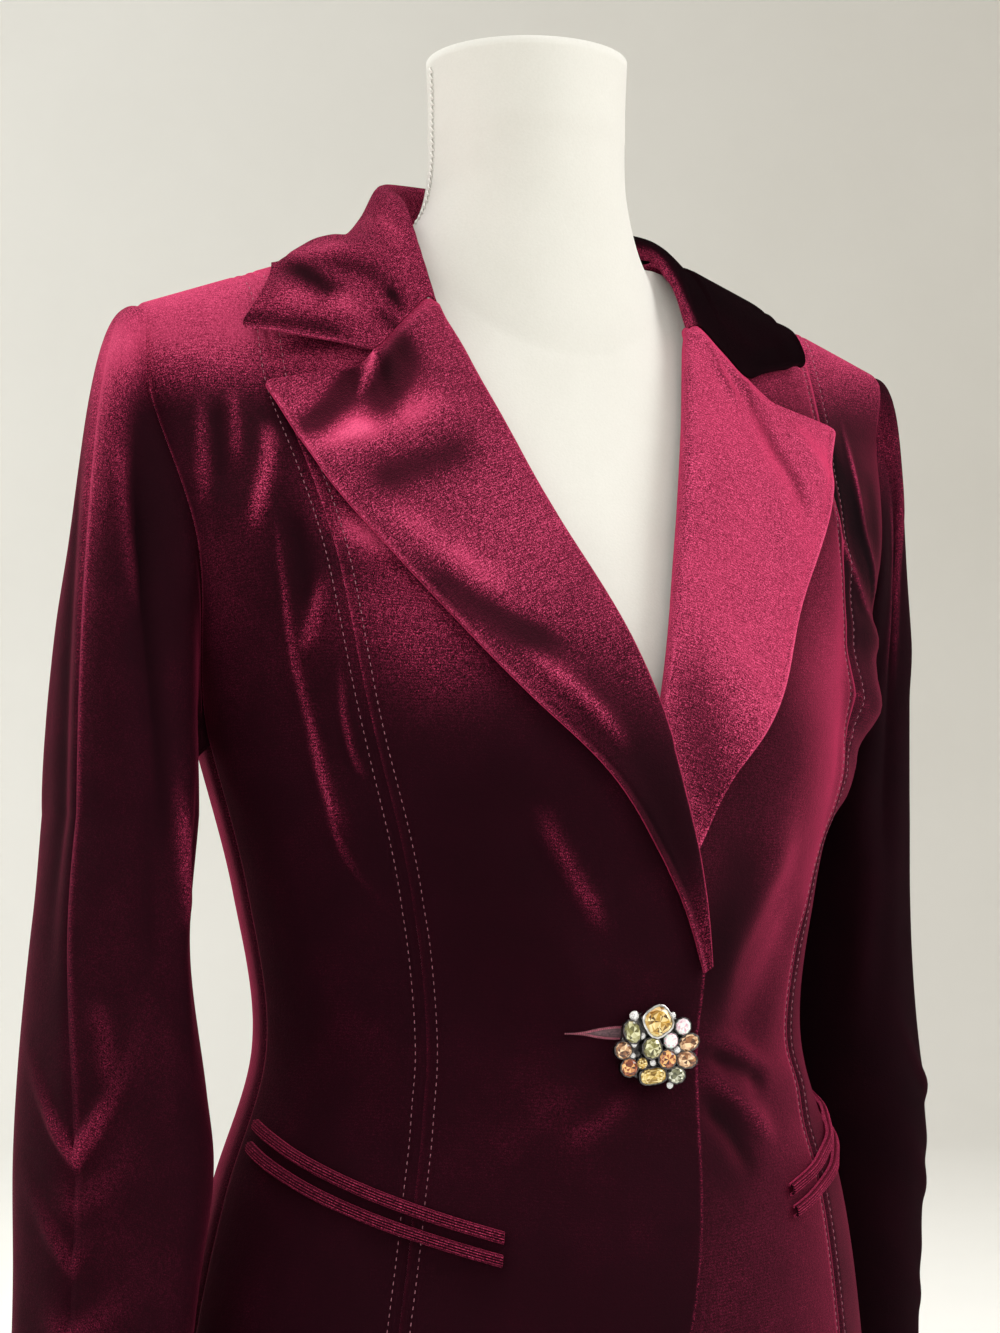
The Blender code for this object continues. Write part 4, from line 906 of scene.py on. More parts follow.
def cloth(
    node, grid, outward, pile, lean, slot, rests_on, held="draped", wall=CLOTH, layers=1, finish=None
):
    """A sheet of cloth from its seen face, thickened inwards, with soft edges, in place of a CAD node.
    Its flat size and area are measured along the drawn sheet."""
    faces = grid_faces(*grid.shape[:2])
    if np.sum(grid_normals(grid) * outward) < 0:
        faces = faces[:, ::-1]
    piece = mesh_piece(node + "_cloth", grid.reshape(-1, 3), faces, finish or velvet_finish)
    mesh = piece.data
    painted_light_on_pile = mesh.attributes.new("pile", "FLOAT", "POINT")
    painted_light_on_pile.data.foreach_set("value", np.ravel(pile).astype(np.float32))
    leaning = mesh.attributes.new("lean", "FLOAT_VECTOR", "POINT")
    lean = np.broadcast_to(np.asarray(lean, float), grid.shape)
    leaning.data.foreach_set("vector", lean.ravel().astype(np.float32))
    across = row_lengths(grid)
    down = column_lengths(grid)
    measure = np.stack([across, down], axis=-1).reshape(-1, 2)
    loops = np.zeros(len(mesh.loops), np.int32)
    mesh.loops.foreach_get("vertex_index", loops)
    mesh.uv_layers.new(name="cut").data.foreach_set("uv", measure[loops].ravel().astype(np.float32))
    thick = piece.modifiers.new("thickness", "SOLIDIFY")
    thick.thickness = wall
    thick.offset = -1.0
    edge = piece.modifiers.new("turned_edge", "BEVEL")
    edge.width = EDGE_ROUND
    edge.segments = 2
    edge.limit_method = "ANGLE"
    edge.angle_limit = math.radians(60)
    belongs(piece, node)
    step_a = grid[1:, 1:] - grid[:-1, :-1]
    step_b = grid[1:, :-1] - grid[:-1, 1:]
    area = float(np.linalg.norm(np.cross(step_a, step_b), axis=2).sum() / 2)
    wide, long = float(across[:, -1].max()) * layers, float(down[-1].max())
    area = round(min(area * layers, wide * long) * 0.999, 5)


class Finish:
    """A material whose nodes are added one by one to its own shader."""

    def __init__(self, name):
        self.material = bpy.data.materials.new(name)
        self.material.use_nodes = True
        self.nodes = self.material.node_tree.nodes
        self.link = self.material.node_tree.links.new
        self.shader = self.nodes["Principled BSDF"]

    def feed(self, node, inputs):
        """Each input is a number, a colour, a vector or another node's output."""
        for socket, value in inputs.items():
            if isinstance(value, bpy.types.NodeSocket):
                self.link(value, node.inputs[socket])
            else:
                node.inputs[socket].default_value = value

    def add(self, kind, inputs, **settings):
        node = self.nodes.new("ShaderNode" + kind)
        for name, value in settings.items():
            setattr(node, name, value)
        self.feed(node, inputs)
        return node.outputs

    def place(self, kind="Object"):
        return self.add("TexCoord", {})[kind]

    def attribute(self, name, kind):
        return self.add("Attribute", {}, attribute_name=name)[kind]

    def noise(self, scale, detail, rough=0.6, kind="Fac"):
        inputs = {"Vector": self.place(), "Scale": scale, "Detail": detail, "Roughness": rough}
        return self.add("TexNoise", inputs)[kind]

    def mixed(self, operation, first, second):
        return self.add("Math", {0: first, 1: second}, operation=operation)[0]

    def vector(self, operation, *inputs):
        return self.add("VectorMath", dict(enumerate(inputs)), operation=operation)["Vector"]

    def coloured(self, level, stops):
        """The shader's colour, from a ramp of places and colours."""
        ramp = self.nodes.new("ShaderNodeValToRGB")
        self.link(level, ramp.inputs["Fac"])
        marks = ramp.color_ramp.elements
        while len(marks) < len(stops):
            marks.new(0.5)
        for mark, (at, colour) in zip(marks, stops):
            mark.position = at
            mark.color = (*colour, 1.0)
        self.link(ramp.outputs["Color"], self.shader.inputs["Base Color"])

    def bumped(self, height, strength, distance, **more):
        bump = self.add("Bump", {"Height": height, "Strength": strength, "Distance": distance, **more})
        self.link(bump["Normal"], self.shader.inputs["Normal"])

    def done(self, **inputs):
        """Sets the shader's own sockets, named with underscores for spaces."""
        self.feed(self.shader, {name.replace("_", " "): value for name, value in inputs.items()})
        return self.material


def velvet(name, sheen, gloss, speckled):
    """Wine velvet. Its pile leans one way on each piece, so it is dark where it points at the eye and bright
    where it is seen from the side; the pile attribute adds painted highlights and painted shade."""
    finish = Finish(name)

    def swing(level, size):
        return finish.mixed("MULTIPLY", finish.mixed("SUBTRACT", level, 0.5), size)

    def eased(level, *span):
        inputs = dict(zip(("From Min", "From Max", "To Min", "To Max"), span), Value=level)
        return finish.add("MapRange", inputs, interpolation_type="SMOOTHSTEP")["Result"]

    grain = finish.noise(2300.0, 1.0)
    clump = finish.noise(760.0, 2.0)
    wave = {"Scale": 2 * math.pi / (20 * KNIT_PITCH), "Distortion": 1.5, "Detail": 1.0, "Detail Scale": 0.5}
    wave["Vector"] = finish.place("UV")
    knit = finish.add("TexWave", wave, bands_direction="Y")["Fac"]
    level = finish.mixed("ADD", finish.attribute("pile", "Fac"), swing(finish.noise(34.0, 2.0), 0.16))
    rough = finish.mixed("ADD", swing(grain, 2.0), swing(clump, 0.60))
    rough = finish.mixed("ADD", rough, swing(knit, 0.12))
    rough = finish.mixed("MULTIPLY", rough, eased(level, 0.80, 1.00, 1.0, 0.40))
    rough = finish.mixed("MULTIPLY", rough, eased(level, 0.24, 0.52, 0.20 * speckled, 1.15 * speckled))
    level = finish.mixed("ADD", level, rough)
    finish.coloured(finish.mixed("MULTIPLY", level, 0.8), WINE_SHADES)
    stir = finish.vector("SUBTRACT", finish.noise(30.0, 3.0, 0.62, "Color"), (0.5, 0.5, 0.5))
    stir = finish.vector("MULTIPLY", stir, (PILE_STIR, PILE_STIR, PILE_STIR))
    way = finish.vector("ADD", finish.add("NewGeometry", {})["Normal"], finish.attribute("lean", "Vector"))
    way = finish.vector("NORMALIZE", finish.vector("ADD", way, stir))
    finish.bumped(finish.mixed("ADD", grain, clump), 0.5, 0.00022, Normal=way)
    return finish.done(
        Roughness=0.85,
        Specular_IOR_Level=0.035,
        Sheen_Weight=sheen,
        Sheen_Roughness=gloss,
        Sheen_Tint=(1.0, 0.075, 0.22, 1.0),
    )


# Copies of the one velvet as painted shade: the sleeves and the left side panel take a copy with less sheen
# and speckle, the right side panel one between
velvet_finish = velvet("wine_velvet", 1.0, 0.30, 0.85)
lapel_finish = velvet("lapel_velvet", 1.0, 0.30, 1.0)
side_finish = velvet("side_velvet", 0.55, 0.28, 0.85)
shaded_finish = velvet("shaded_velvet", 0.30, 0.24, 0.70)
SIDE_FINISHES = {"right": side_finish, "left": shaded_finish}


def jersey_knit():
    finish = Finish("cream_jersey")
    yarn = finish.noise(900.0, 2.0)
    soft = finish.mixed("MULTIPLY", finish.noise(14.0, 3.0), 0.65)
    level = finish.mixed("ADD", finish.mixed("MULTIPLY", yarn, 0.35), soft)
    finish.coloured(level, ((0.25, (0.650, 0.636, 0.590)), (0.75, (0.728, 0.714, 0.671))))
    finish.bumped(yarn, 0.2, 0.0003)
    return finish.done(Roughness=0.9, Specular_IOR_Level=0.1, Sheen_Weight=0.15)


def body_heights(foot=HEM_HEIGHT, lower_rows=LOWER_ROWS, upper_rows=UPPER_ROWS):
    lower = np.linspace(foot, UNDERARM_HEIGHT, lower_rows)
    turn = np.linspace(0, math.pi / 2, upper_rows + 1)[1:]
    upper = UNDERARM_HEIGHT + (CROWN_HEIGHT - UNDERARM_HEIGHT) * np.sin(turn)
    return np.concatenate([lower, upper])


def neck_and_shoulder(neck_columns, columns):
    """Shares from the middle to the side, close together below the neck."""
    neck = np.linspace(0.0, NECK_SHARE, neck_columns + 1)
    out = np.linspace(0.0, 1.0, columns + 1)[1:] ** COLUMN_SPREAD
    return np.concatenate([neck, NECK_SHARE + (1.0 - NECK_SHARE) * out])


def between_seams(columns):
    """Shares from one seam to the next, closer together at both."""
    even = np.linspace(0.0, 1.0, columns + 1)
    return even - 0.07 * np.sin(2 * math.pi * even)


def edge_share(heights):
    """The share of the half front at which the front edge or the roll line lies in each row."""
    share = np.zeros_like(heights)
    step = 1e-4
    for _ in range(40):
        here = BLAZER.point(share, heights, FRONT)
        by_share = (BLAZER.point(share + step, heights, FRONT)[:, 0] - here[:, 0]) / step
        miss = along(FRONT_EDGE, here[:, 2]) - here[:, 0]
        share = np.clip(share + miss / np.maximum(by_share, 0.05) * 0.7, -0.3, NECK_SHARE + NECK_EASE)
    share[-1] = NECK_SHARE + NECK_EASE
    return share


def body_panel(name, side_name, start, end, across, facing, seams, finish):
    """One panel between two seams. seams names its sewn edges, topstitching and open front edge."""
    heights = body_heights()
    share = start[:, None] + (end - start)[:, None] * across
    height = np.repeat(heights[:, None], len(across), axis=1)
    flat = BLAZER.point(share, height, facing)
    grid = flat.reshape(len(heights), len(across), 3)
    from_start = row_lengths(grid)
    from_end = from_start[:, -1:] - from_start
    from_top = column_lengths(grid)
    from_top = from_top[-1:] - from_top
    if facing == FRONT:
        lift, glow = front_lift(side_name, flat[:, 0], flat[:, 2], share.ravel())
    else:
        lift, glow = creased(flat[:, 0] * 1000, flat[:, 2] * 1000, BACK_CREASES[side_name])
        fade = 1 - smooth((share.ravel() - FOLD_TO_SHARE) / (1 - FOLD_TO_SHARE))
        lift, glow = lift * fade, glow * fade
    # Painted highlight on the shoulder tops, lighter towards the shoulder seam
    shoulder = SHOULDER_HIGHLIGHTS[side_name if facing == FRONT else "back"]
    glow = glow + shoulder.level * smooth((flat[:, 2] - shoulder.start) / (shoulder.full - shoulder.start))
    lift = lift.reshape(grid.shape[:2])
    glow = glow.reshape(grid.shape[:2])
    for edge, away in (("start", from_start), ("end", from_end), ("top", from_top)):
        if edge in seams:
            lift = lift + seam_dip(away)
        if edge == "end" and edge in seams:
            upper = smooth((grid[..., 2] - SEAM_LIGHT_FROM) / SEAM_LIGHT_SPAN)
            lit = SEAM_LIGHT[side_name] * (SEAM_LIGHT_LEAST + (1 - SEAM_LIGHT_LEAST) * upper)
            lit = lit * (1 - smooth((glow - 0.15) / 0.25))
            glow = glow + lit * bell(away, SEAM_LIGHT_WIDE)
    if "edge" in seams:
        glow = glow + FRONT_EDGE_LIGHT * bell(from_start - 0.0005, EDGE_LIGHT_WIDE)
    for edge, away in (("start_stitch", from_start), ("end_stitch", from_end)):
        if edge in seams:
            lift = lift + stitch_dip(away)
    points = BLAZER.lifted(share, height, facing, lift.ravel() + WALL)
    normal = BLAZER.normal(share, height, facing)
    side = mirror(side_name)
    face = (points * side).reshape(grid.shape)
    outward = (normal * side).reshape(grid.shape)
    lean = PANEL_LEAN[side_name] if facing == FRONT else BACK_LEAN
    pile = (PANEL_PILE[side_name] if facing == FRONT else BACK_PILE) + glow
    cloth(name + side_name, face, outward, pile, lean, "velvet", ["dress_form"], finish=finish)


def body(side_name):
    heights = body_heights()
    princess = along(PRINCESS[side_name], heights)
    ones = np.ones_like(heights)
    front_seams = ("end", "top", "end_stitch") + (("edge",) if side_name == "right" else ())
    side_seams = ("start", "end", "top", "start_stitch")
    across = between_seams(FRONT_COLUMNS)
    edge = edge_share(heights)
    body_panel("front_", side_name, edge, princess, across, FRONT, front_seams, velvet_finish)
    across = between_seams(SIDE_COLUMNS)
    body_panel("side_front_", side_name, princess, ones, across, FRONT, side_seams, SIDE_FINISHES[side_name])
    across = neck_and_shoulder(BACK_NECK_COLUMNS, BACK_COLUMNS)
    body_panel("back_", side_name, ones * 0, ones, across, BACK, ("start", "end", "top"), velvet_finish)


def lapel_face(side_name):
    """The seen face of a lapel: rows up the roll line, round the roll and out to the edge."""
    knots = np.arange(len(LAPEL_ROWS), dtype=float)
    rows = knots[-1] * (1.0 - (1.0 - np.linspace(0.0, 1.0, LAPEL_DRAWN_ROWS + 1)) ** 1.25)
    roll_x, roll_z, edge_x, edge_z, more, radius = splined(knots, LAPEL_ROWS, rows).T
    if side_name == "left":
        edge_x = edge_x + more
    across = LAPEL_ACROSS
    x = roll_x[:, None] + (edge_x - roll_x)[:, None] * across
    z = roll_z[:, None] + (edge_z - roll_z)[:, None] * across
    top = smooth((rows - knots[-1] + NOTCH_ROWS) / NOTCH_ROWS)[:, None]
    notch = np.interp(across, [0, NOTCH_SHARE, 1], [0, 1, 0])
    z = z + NOTCH_RISE * top * notch
    share, height = BLAZER.seen_from_front(x, z)
    flat = BLAZER.point(share, height, FRONT)
    normal = BLAZER.normal(share, height, FRONT)
    under, _ = front_lift(side_name, flat[:, 0], flat[:, 2], np.abs(share))
    base = (flat + normal * under[:, None]).reshape(len(rows), -1, 3)
    normal = normal.reshape(len(rows), -1, 3)
    top_lift = WALL + 2 * radius
    low_lift = WALL + LAPEL_EDGE_LIFT
    ease = smooth(across * LAPEL_EASE)
    lift = top_lift[:, None] + (low_lift - top_lift)[:, None] * ease
    relief, glow = creased(flat[:, 0] * 1000, flat[:, 2] * 1000, LAPEL_CREASES[side_name])
    relief = relief.reshape(lift.shape)
    glow = glow + painted_light_on_pile(flat[:, 0] * 1000, flat[:, 2] * 1000, LAPEL_PAINTED_LIGHT[side_name])
    room = smooth(across * 6) * np.where(relief < 0, 0.5, 1.0)
    from_edge = row_lengths(base)
    from_edge = from_edge[:, -1:] - from_edge
    relief = np.maximum(relief * room, LAYER_ROOM - lift) + edge_lip(from_edge)
    leaf = base + normal * (lift + WALL + relief)[..., None]
    glow = glow.reshape(lift.shape) + EDGE_LIGHT * bell(from_edge - 0.0004, EDGE_LIGHT_WIDE)
    roll = []
    away = base[:, 0] - base[:, 1]
    away /= np.linalg.norm(away, axis=1)[:, None]
    for step in range(ROLL_DRAWN):
        turn = math.pi * step / ROLL_DRAWN
        rise = WALL + radius - (radius + WALL) * math.cos(turn)
        reach = ROLL_FLAT * (radius + WALL) * math.sin(turn)
        roll.append(base[:, 0] + normal[:, 0] * rise[:, None] + away * reach[:, None])
    points = np.concatenate([np.stack(roll, axis=1), leaf], axis=1)
    glow = np.concatenate([np.zeros((len(rows), ROLL_DRAWN)), glow], axis=1)
    return points * mirror(side_name), glow


def lapel(side_name, collar_end):
    grid, glow = lapel_face(side_name)
    grid = sewn_to_collar(grid, collar_end)
    from_top = column_lengths(grid)
    grid = rounded_corner(grid, from_top[-1:] - from_top, PEAK_ROUND)
    hint = np.zeros_like(grid) + np.array([0.0, -1.0, 0.3])
    pile = LAPEL_PILE[side_name] + glow
    lean = LAPEL_LEAN[side_name]
    rests_on = ["front_" + side_name]
    cloth("lapel_" + side_name, grid, hint, pile, lean, "velvet", rests_on, "folded", finish=lapel_finish)


def sewn_to_collar(grid, collar_end):
    """The top of a lapel drawn to the collar's front end along the gorge, with a puffed seam."""
    across = np.concatenate([np.zeros(ROLL_DRAWN), LAPEL_ACROSS])
    run = run_of(collar_end)
    target = spots_at(collar_end, run, np.clip(across / NOTCH_SHARE, 0, 1) * run[-1])
    near = 1 - smooth((across - NOTCH_SHARE) / 0.08)
    shift = (target - grid[-1]) * near[:, None]
    shift[:ROLL_DRAWN] = shift[ROLL_DRAWN]
    from_top = column_lengths(grid)
    from_top = from_top[-1:] - from_top
    reach = 1 - smooth(from_top / GORGE_REACH)
    puff = GORGE_PUFF * bell(from_top - GORGE_PUFF_AT, GORGE_PUFF_WIDE) + seam_dip(from_top)
    out = np.array([0.0, -0.7, 0.7])
    return grid + shift * reach[..., None] + (puff * near)[..., None] * out


def laid_over(points, lift):
    """Points moved out until they lie this far above the blazer's panels."""
    share, height = np.meshgrid(np.linspace(-1, 1, 161), np.linspace(YOKE_FROM, CROWN_HEIGHT, 61))
    places = np.concatenate([BLAZER.point(share, height, facing) for facing in (FRONT, BACK)])
    normals = np.concatenate([BLAZER.normal(share, height, facing) for facing in (FRONT, BACK)])
    points = points.copy()
    for place in points.reshape(-1, 3):
        nearest = np.argmin(np.sum((places - place) ** 2, axis=1))
        above = (place - places[nearest]) @ normals[nearest]
        place += normals[nearest] * max(lift - above, 0.0)
    return points


def collar_half(side_name):
    """Sections from the centre back to the front end, each with a stand, a roll and a fall."""
    knots = np.arange(len(COLLAR_ROWS), dtype=float)
    rows = knots[-1] * (1.0 - (1.0 - np.linspace(0.0, 1.0, COLLAR_DRAWN_ROWS + 1)) ** 1.5)

    seam, roll, edge = (splined(knots, [row[part] for row in COLLAR_ROWS], rows) for part in range(3))
    bow, sag, reach = splined(knots, [row[3:] for row in COLLAR_ROWS], rows).T
    puff = 0 * bow
    if side_name == "left":
        drop, inward, up = splined(knots, COLLAR_LEFT, rows).T
        roll[:, 2] -= drop
        edge[:, 0] -= inward
        edge[:, 2] += up
    else:
        puff, outward = splined(knots, COLLAR_RIGHT, rows).T
        edge[:, 0] += outward
    columns = []
    for step in range(COLLAR_STAND_STEPS):
        columns.append(seam + (roll - seam) * step / COLLAR_STAND_STEPS)
    out = edge - roll
    out[:, 2] = 0
    out /= np.linalg.norm(out, axis=1)[:, None]
    columns.append(roll)
    start = roll + out * reach[:, None] + np.array([0, 0, COLLAR_ROLL_RISE])
    for part in COLLAR_FALL_SHARES:
        place = start + (edge - start) * part
        skewed = part**COLLAR_BOW_POWER
        place[:, 2] += bow * 4 * skewed * (1 - skewed)
        place[:, 2] += puff * (0.75 * bell(part - 0.72, 0.2) - bell(part - 0.28, 0.12))
        dip = np.interp(part, [0, COLLAR_NOTCH_SHARE, 1], [0, 1, 0])
        place += np.stack([0 * sag, -COLLAR_SAG_FORWARD * sag, -sag], axis=1) * dip
        columns.append(place)
    sections = np.stack(columns, axis=1)
    fine = []
    for section in sections:
        run = np.concatenate([[0], np.cumsum(np.linalg.norm(np.diff(section, axis=0), axis=1) ** 0.5)])
        fine.append(splined(run, section, np.linspace(0, run[-1], COLLAR_DRAWN_COLUMNS + 1)))
    half = np.stack(fine)
    fall = COLLAR_DRAWN_COLUMNS * 2 // 5
    half[:, fall:] = laid_over(half[:, fall:], COLLAR_LIFT)
    half = half * mirror(side_name)
    first = int(round(COLLAR_DRAWN_COLUMNS * run[COLLAR_STAND_STEPS] / run[-1]))
    notch = int(round(COLLAR_DRAWN_COLUMNS * run[COLLAR_STAND_STEPS + 3] / run[-1]))
    return half, slice(first, notch + 1)


def collar():
    """The whole collar, from its right end round the neck to its left end."""
    right, right_gorge = collar_half("right")
    left, left_gorge = collar_half("left")
    grid = np.concatenate([right[:0:-1], left])
    near = 0.5 * bell(np.arange(len(grid)) - (len(right) - 1), NAPE_ROUND_ROWS)[1:-1, None, None]
    for _ in range(NAPE_ROUND_TIMES):
        grid[1:-1] += near * ((grid[2:] + grid[:-2]) / 2 - grid[1:-1])
    from_end = column_lengths(grid)
    from_end = np.minimum(from_end, from_end[-1:] - from_end)
    grid = rounded_corner(grid, from_end, TIP_ROUND)
    normal = grid_normals(grid)
    hint = grid * np.array([1.0, 1.0, 0.0]) + np.array([0.0, 0.0, 0.06])
    if np.sum(normal * hint) < 0:
        normal = -normal
    relief = np.zeros(grid.shape[:2])
    glow = np.zeros(grid.shape[:2])
    for side_name, sign in SIDES.items():
        own = (np.sign(grid[..., 0]) == sign) & (grid[..., 1] < 0.02)
        rise, light = creased(grid[..., 0] * sign * 1000, grid[..., 2] * 1000, COLLAR_CREASES[side_name])
        relief += rise.reshape(own.shape) * own
        glow += light.reshape(own.shape) * own
    from_edge = row_lengths(grid)
    from_edge = from_edge[:, -1:] - from_edge
    fallen = smooth((np.arange(grid.shape[1]) / grid.shape[1] - 0.45) * 6)[None, :]
    relief = np.maximum(relief, COLLAR_DEEPEST) + edge_lip(from_edge) + edge_lip(from_end)
    relief = relief - EDGE_SETTLE * bell(from_edge, EDGE_SETTLE_WIDE)
    grid = grid + normal * (WALL + relief * fallen)[..., None]
    across = np.linspace(-1, 1, len(grid))[:, None, None]
    place = np.arange(grid.shape[1]) / grid.shape[1]
    stand = 1 - smooth((place - 0.10) * 12)
    # Painted highlight along the collar's front ends, with a painted shade band just inside them, on the fall
    painted_edge_light = 0.15 * bell(from_end - 0.0006, 0.0009) - 0.26 * bell(from_end - 0.0062, 0.0042)
    glow = glow + painted_edge_light * smooth((place - 0.50) * 8)[None, :]
    turned = smooth(across * 2.2) * (1 - stand)[None, :, None]
    lean = np.array(COLLAR_LEAN["right"]) * (1 - turned) + np.array(COLLAR_LEAN["left"]) * turned
    # The left half of the collar is painted darker by COLLAR_SHADE, as painted shade
    pile = COLLAR_PILE - COLLAR_SHADE * turned[..., 0] + glow * smooth((place - 0.20) * 8)[None, :]
    rests_on = ["front_right", "back_right", "back_left", "front_left"]
    cloth("collar", grid, hint, pile, lean, "velvet", rests_on, "folded", COLLAR_CLOTH)
    return {"right": grid[0, right_gorge], "left": grid[-1, left_gorge]}


def sleeve_folds(half, turn, height):
    rise = np.zeros_like(turn)
    for fold in SLEEVE_FOLDS[half]:
        part = (fold.top_z - height) / (fold.top_z - fold.low_z)
        middle = fold.top_turn + (fold.low_turn - fold.top_turn) * part
        fade = smooth(part * 4) * smooth((1 - part) * 3)
        rise += fold.rise * fade * bell(turn - middle, fold.width)
    return rise


def sleeve_gathers(side_name, half, turn, height):
    """Puckers that run up and away from the overarm seam below the elbow, their crests painted lighter as
    painted highlight.
    """
    rise = np.zeros_like(turn)
    glow = np.zeros_like(turn)
    for gather in GATHERS[side_name]:
        reach = gather.front if half == "front" else gather.back
        crest = gather.height + gather.climb * turn
        shape = bell(height - crest, gather.width * (1 + turn / 60)) * bell(turn, reach)
        rise += gather.rise * shape
        glow += 80 * gather.rise * shape
    start = smooth((GATHERS[side_name][0].height + 0.012 - height) / 0.012)
    rise -= GATHER_PULL * start * bell(turn, GATHER_PULL_TURN)
    return rise, glow


def sleeve_tube(side_name):
    """A whole sleeve: rows from the armhole to the cuff, columns from the underarm round the back to the
    overarm seam and on round the front."""
    hang = SLEEVE_HANG[side_name]
    table = np.array(SLEEVE_RINGS)
    lowest = table[-1, 0]
    knots = -table[:, 0]
    heights = np.linspace(table[0, 0], lowest, SLEEVE_DRAWN + 1)
    share = np.linspace(0.0, 1.0, SLEEVE_DRAWN_COLUMNS + 1) ** 1.25
    turn = share * 180.0
    halves = []
    piles = []
    firsts = []
    for half in ("back", "front"):
        facing = FRONT if half == "front" else BACK
        way_round = 1.0 if half == "front" else -1.0

        def round_sleeve(seam):
            swing = (seam - UNDERARM_TURN) * (1 + np.cos(np.radians(turn))) / 2
            return np.radians(UNDERARM_TURN + way_round * turn + swing)

        plan = round_sleeve(SEAM_TURN_TOP)
        armhole_height = CROWN_HEIGHT - (CROWN_HEIGHT - UNDERARM_HEIGHT) * share
        ones = np.ones_like(share)
        armhole = BLAZER.point(ones, armhole_height, facing)
        firsts.append(BLAZER.lifted(ones, armhole_height, facing, WALL - SEAM_DIP))

        def swell_at(height):
            crease, glow = creased(way_round * turn * DEGREE_MM, height * 1000, scaled_creases(side_name))
            gather, gather_glow = sleeve_gathers(side_name, half, turn, height)
            ridge = SEAM_RIDGE * bell(turn, SEAM_RIDGE_TURN)
            glow = glow + painted_light_on_pile(way_round * turn * DEGREE_MM, height * 1000, SLEEVE_PAINTED_LIGHT[side_name])
            return ridge, sleeve_folds(half, turn, height) + crease, gather, glow + gather_glow

        def ring(height, folded=1.0):
            out, more, across, depth = (spline(knots, line, [-height])[0] for line in table.T[1:])
            if side_name == "right":
                out += more
            else:
                out -= LEFT_CUFF_IN * smooth((LEFT_CUFF_FROM - height) / LEFT_CUFF_SPAN)
            down = (table[0, 0] - height) / (table[0, 0] - lowest)
            level = np.full_like(turn, height)
            ridge, fold, gather, glow = swell_at(level)
            swell = ridge + fold * folded + gather
            lowered = smooth((SEAM_TURN_FROM - height) / SEAM_TURN_SPAN)
            angle = round_sleeve(SEAM_TURN_TOP + (SEAM_TURN_LOW - SEAM_TURN_TOP) * lowered)
            x = out + (across + swell) * np.cos(angle)
            middle = hang.biceps_back + (hang.cuff_back - hang.biceps_back) * down
            y = middle - (depth + swell) * np.sin(angle)
            return np.stack([x, y, level], axis=1), glow

        under = smooth((turn - CAP_UNDER_FROM) / (180.0 - CAP_UNDER_FROM))
        sine = np.sin(np.radians(turn))
        way = CAP_WAY_TOP + np.outer(sine, CAP_WAY_SIDE) + np.outer(under, CAP_WAY_UNDER)
        way[:, 1] *= facing
        way /= np.linalg.norm(way, axis=1)[:, None]
        last, _ = ring(table[0, 0], 0.0)
        chord = np.linalg.norm(last - armhole, axis=1)[:, None]
        leave = way * (CAP_REACH * chord + CAP_LEAD)
        arrive = np.array([0.0, 0.0, -1.0]) * chord * CAP_ARRIVE
        grid = []
        pile = []
        for row in range(SLEEVE_CAP_DRAWN):
            t = row / SLEEVE_CAP_DRAWN
            place = armhole * (1 + 2 * t) * (1 - t) ** 2 + leave * t * (1 - t) ** 2
            place += last * t * t * (3 - 2 * t) + arrive * t * t * (t - 1)
            _, fold, _, glow = swell_at(place[:, 2])
            fold = fold * t * (2 - t)
            place[:, 0] += fold * np.cos(plan)
            place[:, 1] -= fold * np.sin(plan)
            grid.append(place)
            pile.append(glow)
        for height in heights:
            place, glow = ring(height)
            grid.append(place)
            pile.append(glow)
        halves.append(np.stack(grid))
        piles.append(np.stack(pile))
    tube = np.concatenate([halves[0][:, :0:-1], halves[1]], axis=1)
    pile = np.concatenate([piles[0][:, :0:-1], piles[1]], axis=1)
    seam = np.concatenate([firsts[0][:0:-1], firsts[1]])
    round_it = np.concatenate([tube[:, -2:-1], tube, tube[:, 1:2]], axis=1)
    normal = grid_normals(round_it)[:, 1:-1]
    middle = tube.mean(axis=1, keepdims=True)
    if np.sum(normal[SLEEVE_CAP_DRAWN:] * (tube - middle)[SLEEVE_CAP_DRAWN:]) < 0:
        normal = -normal
    face = tube + normal * WALL
    fade = np.zeros(len(face))
    near_seam = np.arange(SLEEVE_CAP_DRAWN) / (CAP_SEAM_SHARE * SLEEVE_CAP_DRAWN)
    fade[:SLEEVE_CAP_DRAWN] = 1 - smooth(near_seam)
    face = face + (seam - face[0]) * fade[:, None, None]
    across = np.concatenate([-turn[:0:-1], turn])
    overarm = np.abs(across) * DEGREE_MM / 1000
    underarm = (180 - np.abs(across)) * DEGREE_MM / 1000
    dip = seam_dip(overarm) + seam_dip(underarm)
    face = face + normal * dip[None, :, None] * (1 - fade)[:, None, None]
    return face * mirror(side_name), normal * mirror(side_name), SLEEVE_PILE[side_name] + pile


def scaled_creases(side_name):
    return [
        crease._replace(path=tuple((turn * DEGREE_MM, z) for turn, z in crease.path))
        for crease in SLEEVE_CREASES[side_name]
    ]


def sleeve(side_name):
    face, normal, pile = sleeve_tube(side_name)
    seam = SLEEVE_DRAWN_COLUMNS
    lean = SLEEVE_LEAN[side_name]
    for half, part in (("back", np.s_[:, : seam + 1]), ("front", np.s_[:, seam:])):
        name = "sleeve_" + half + "_" + side_name
        sheet = face[part], normal[part], pile[part], lean
        cloth(name, *sheet, "velvet", ["dress_form"], "hung", finish=shaded_finish)


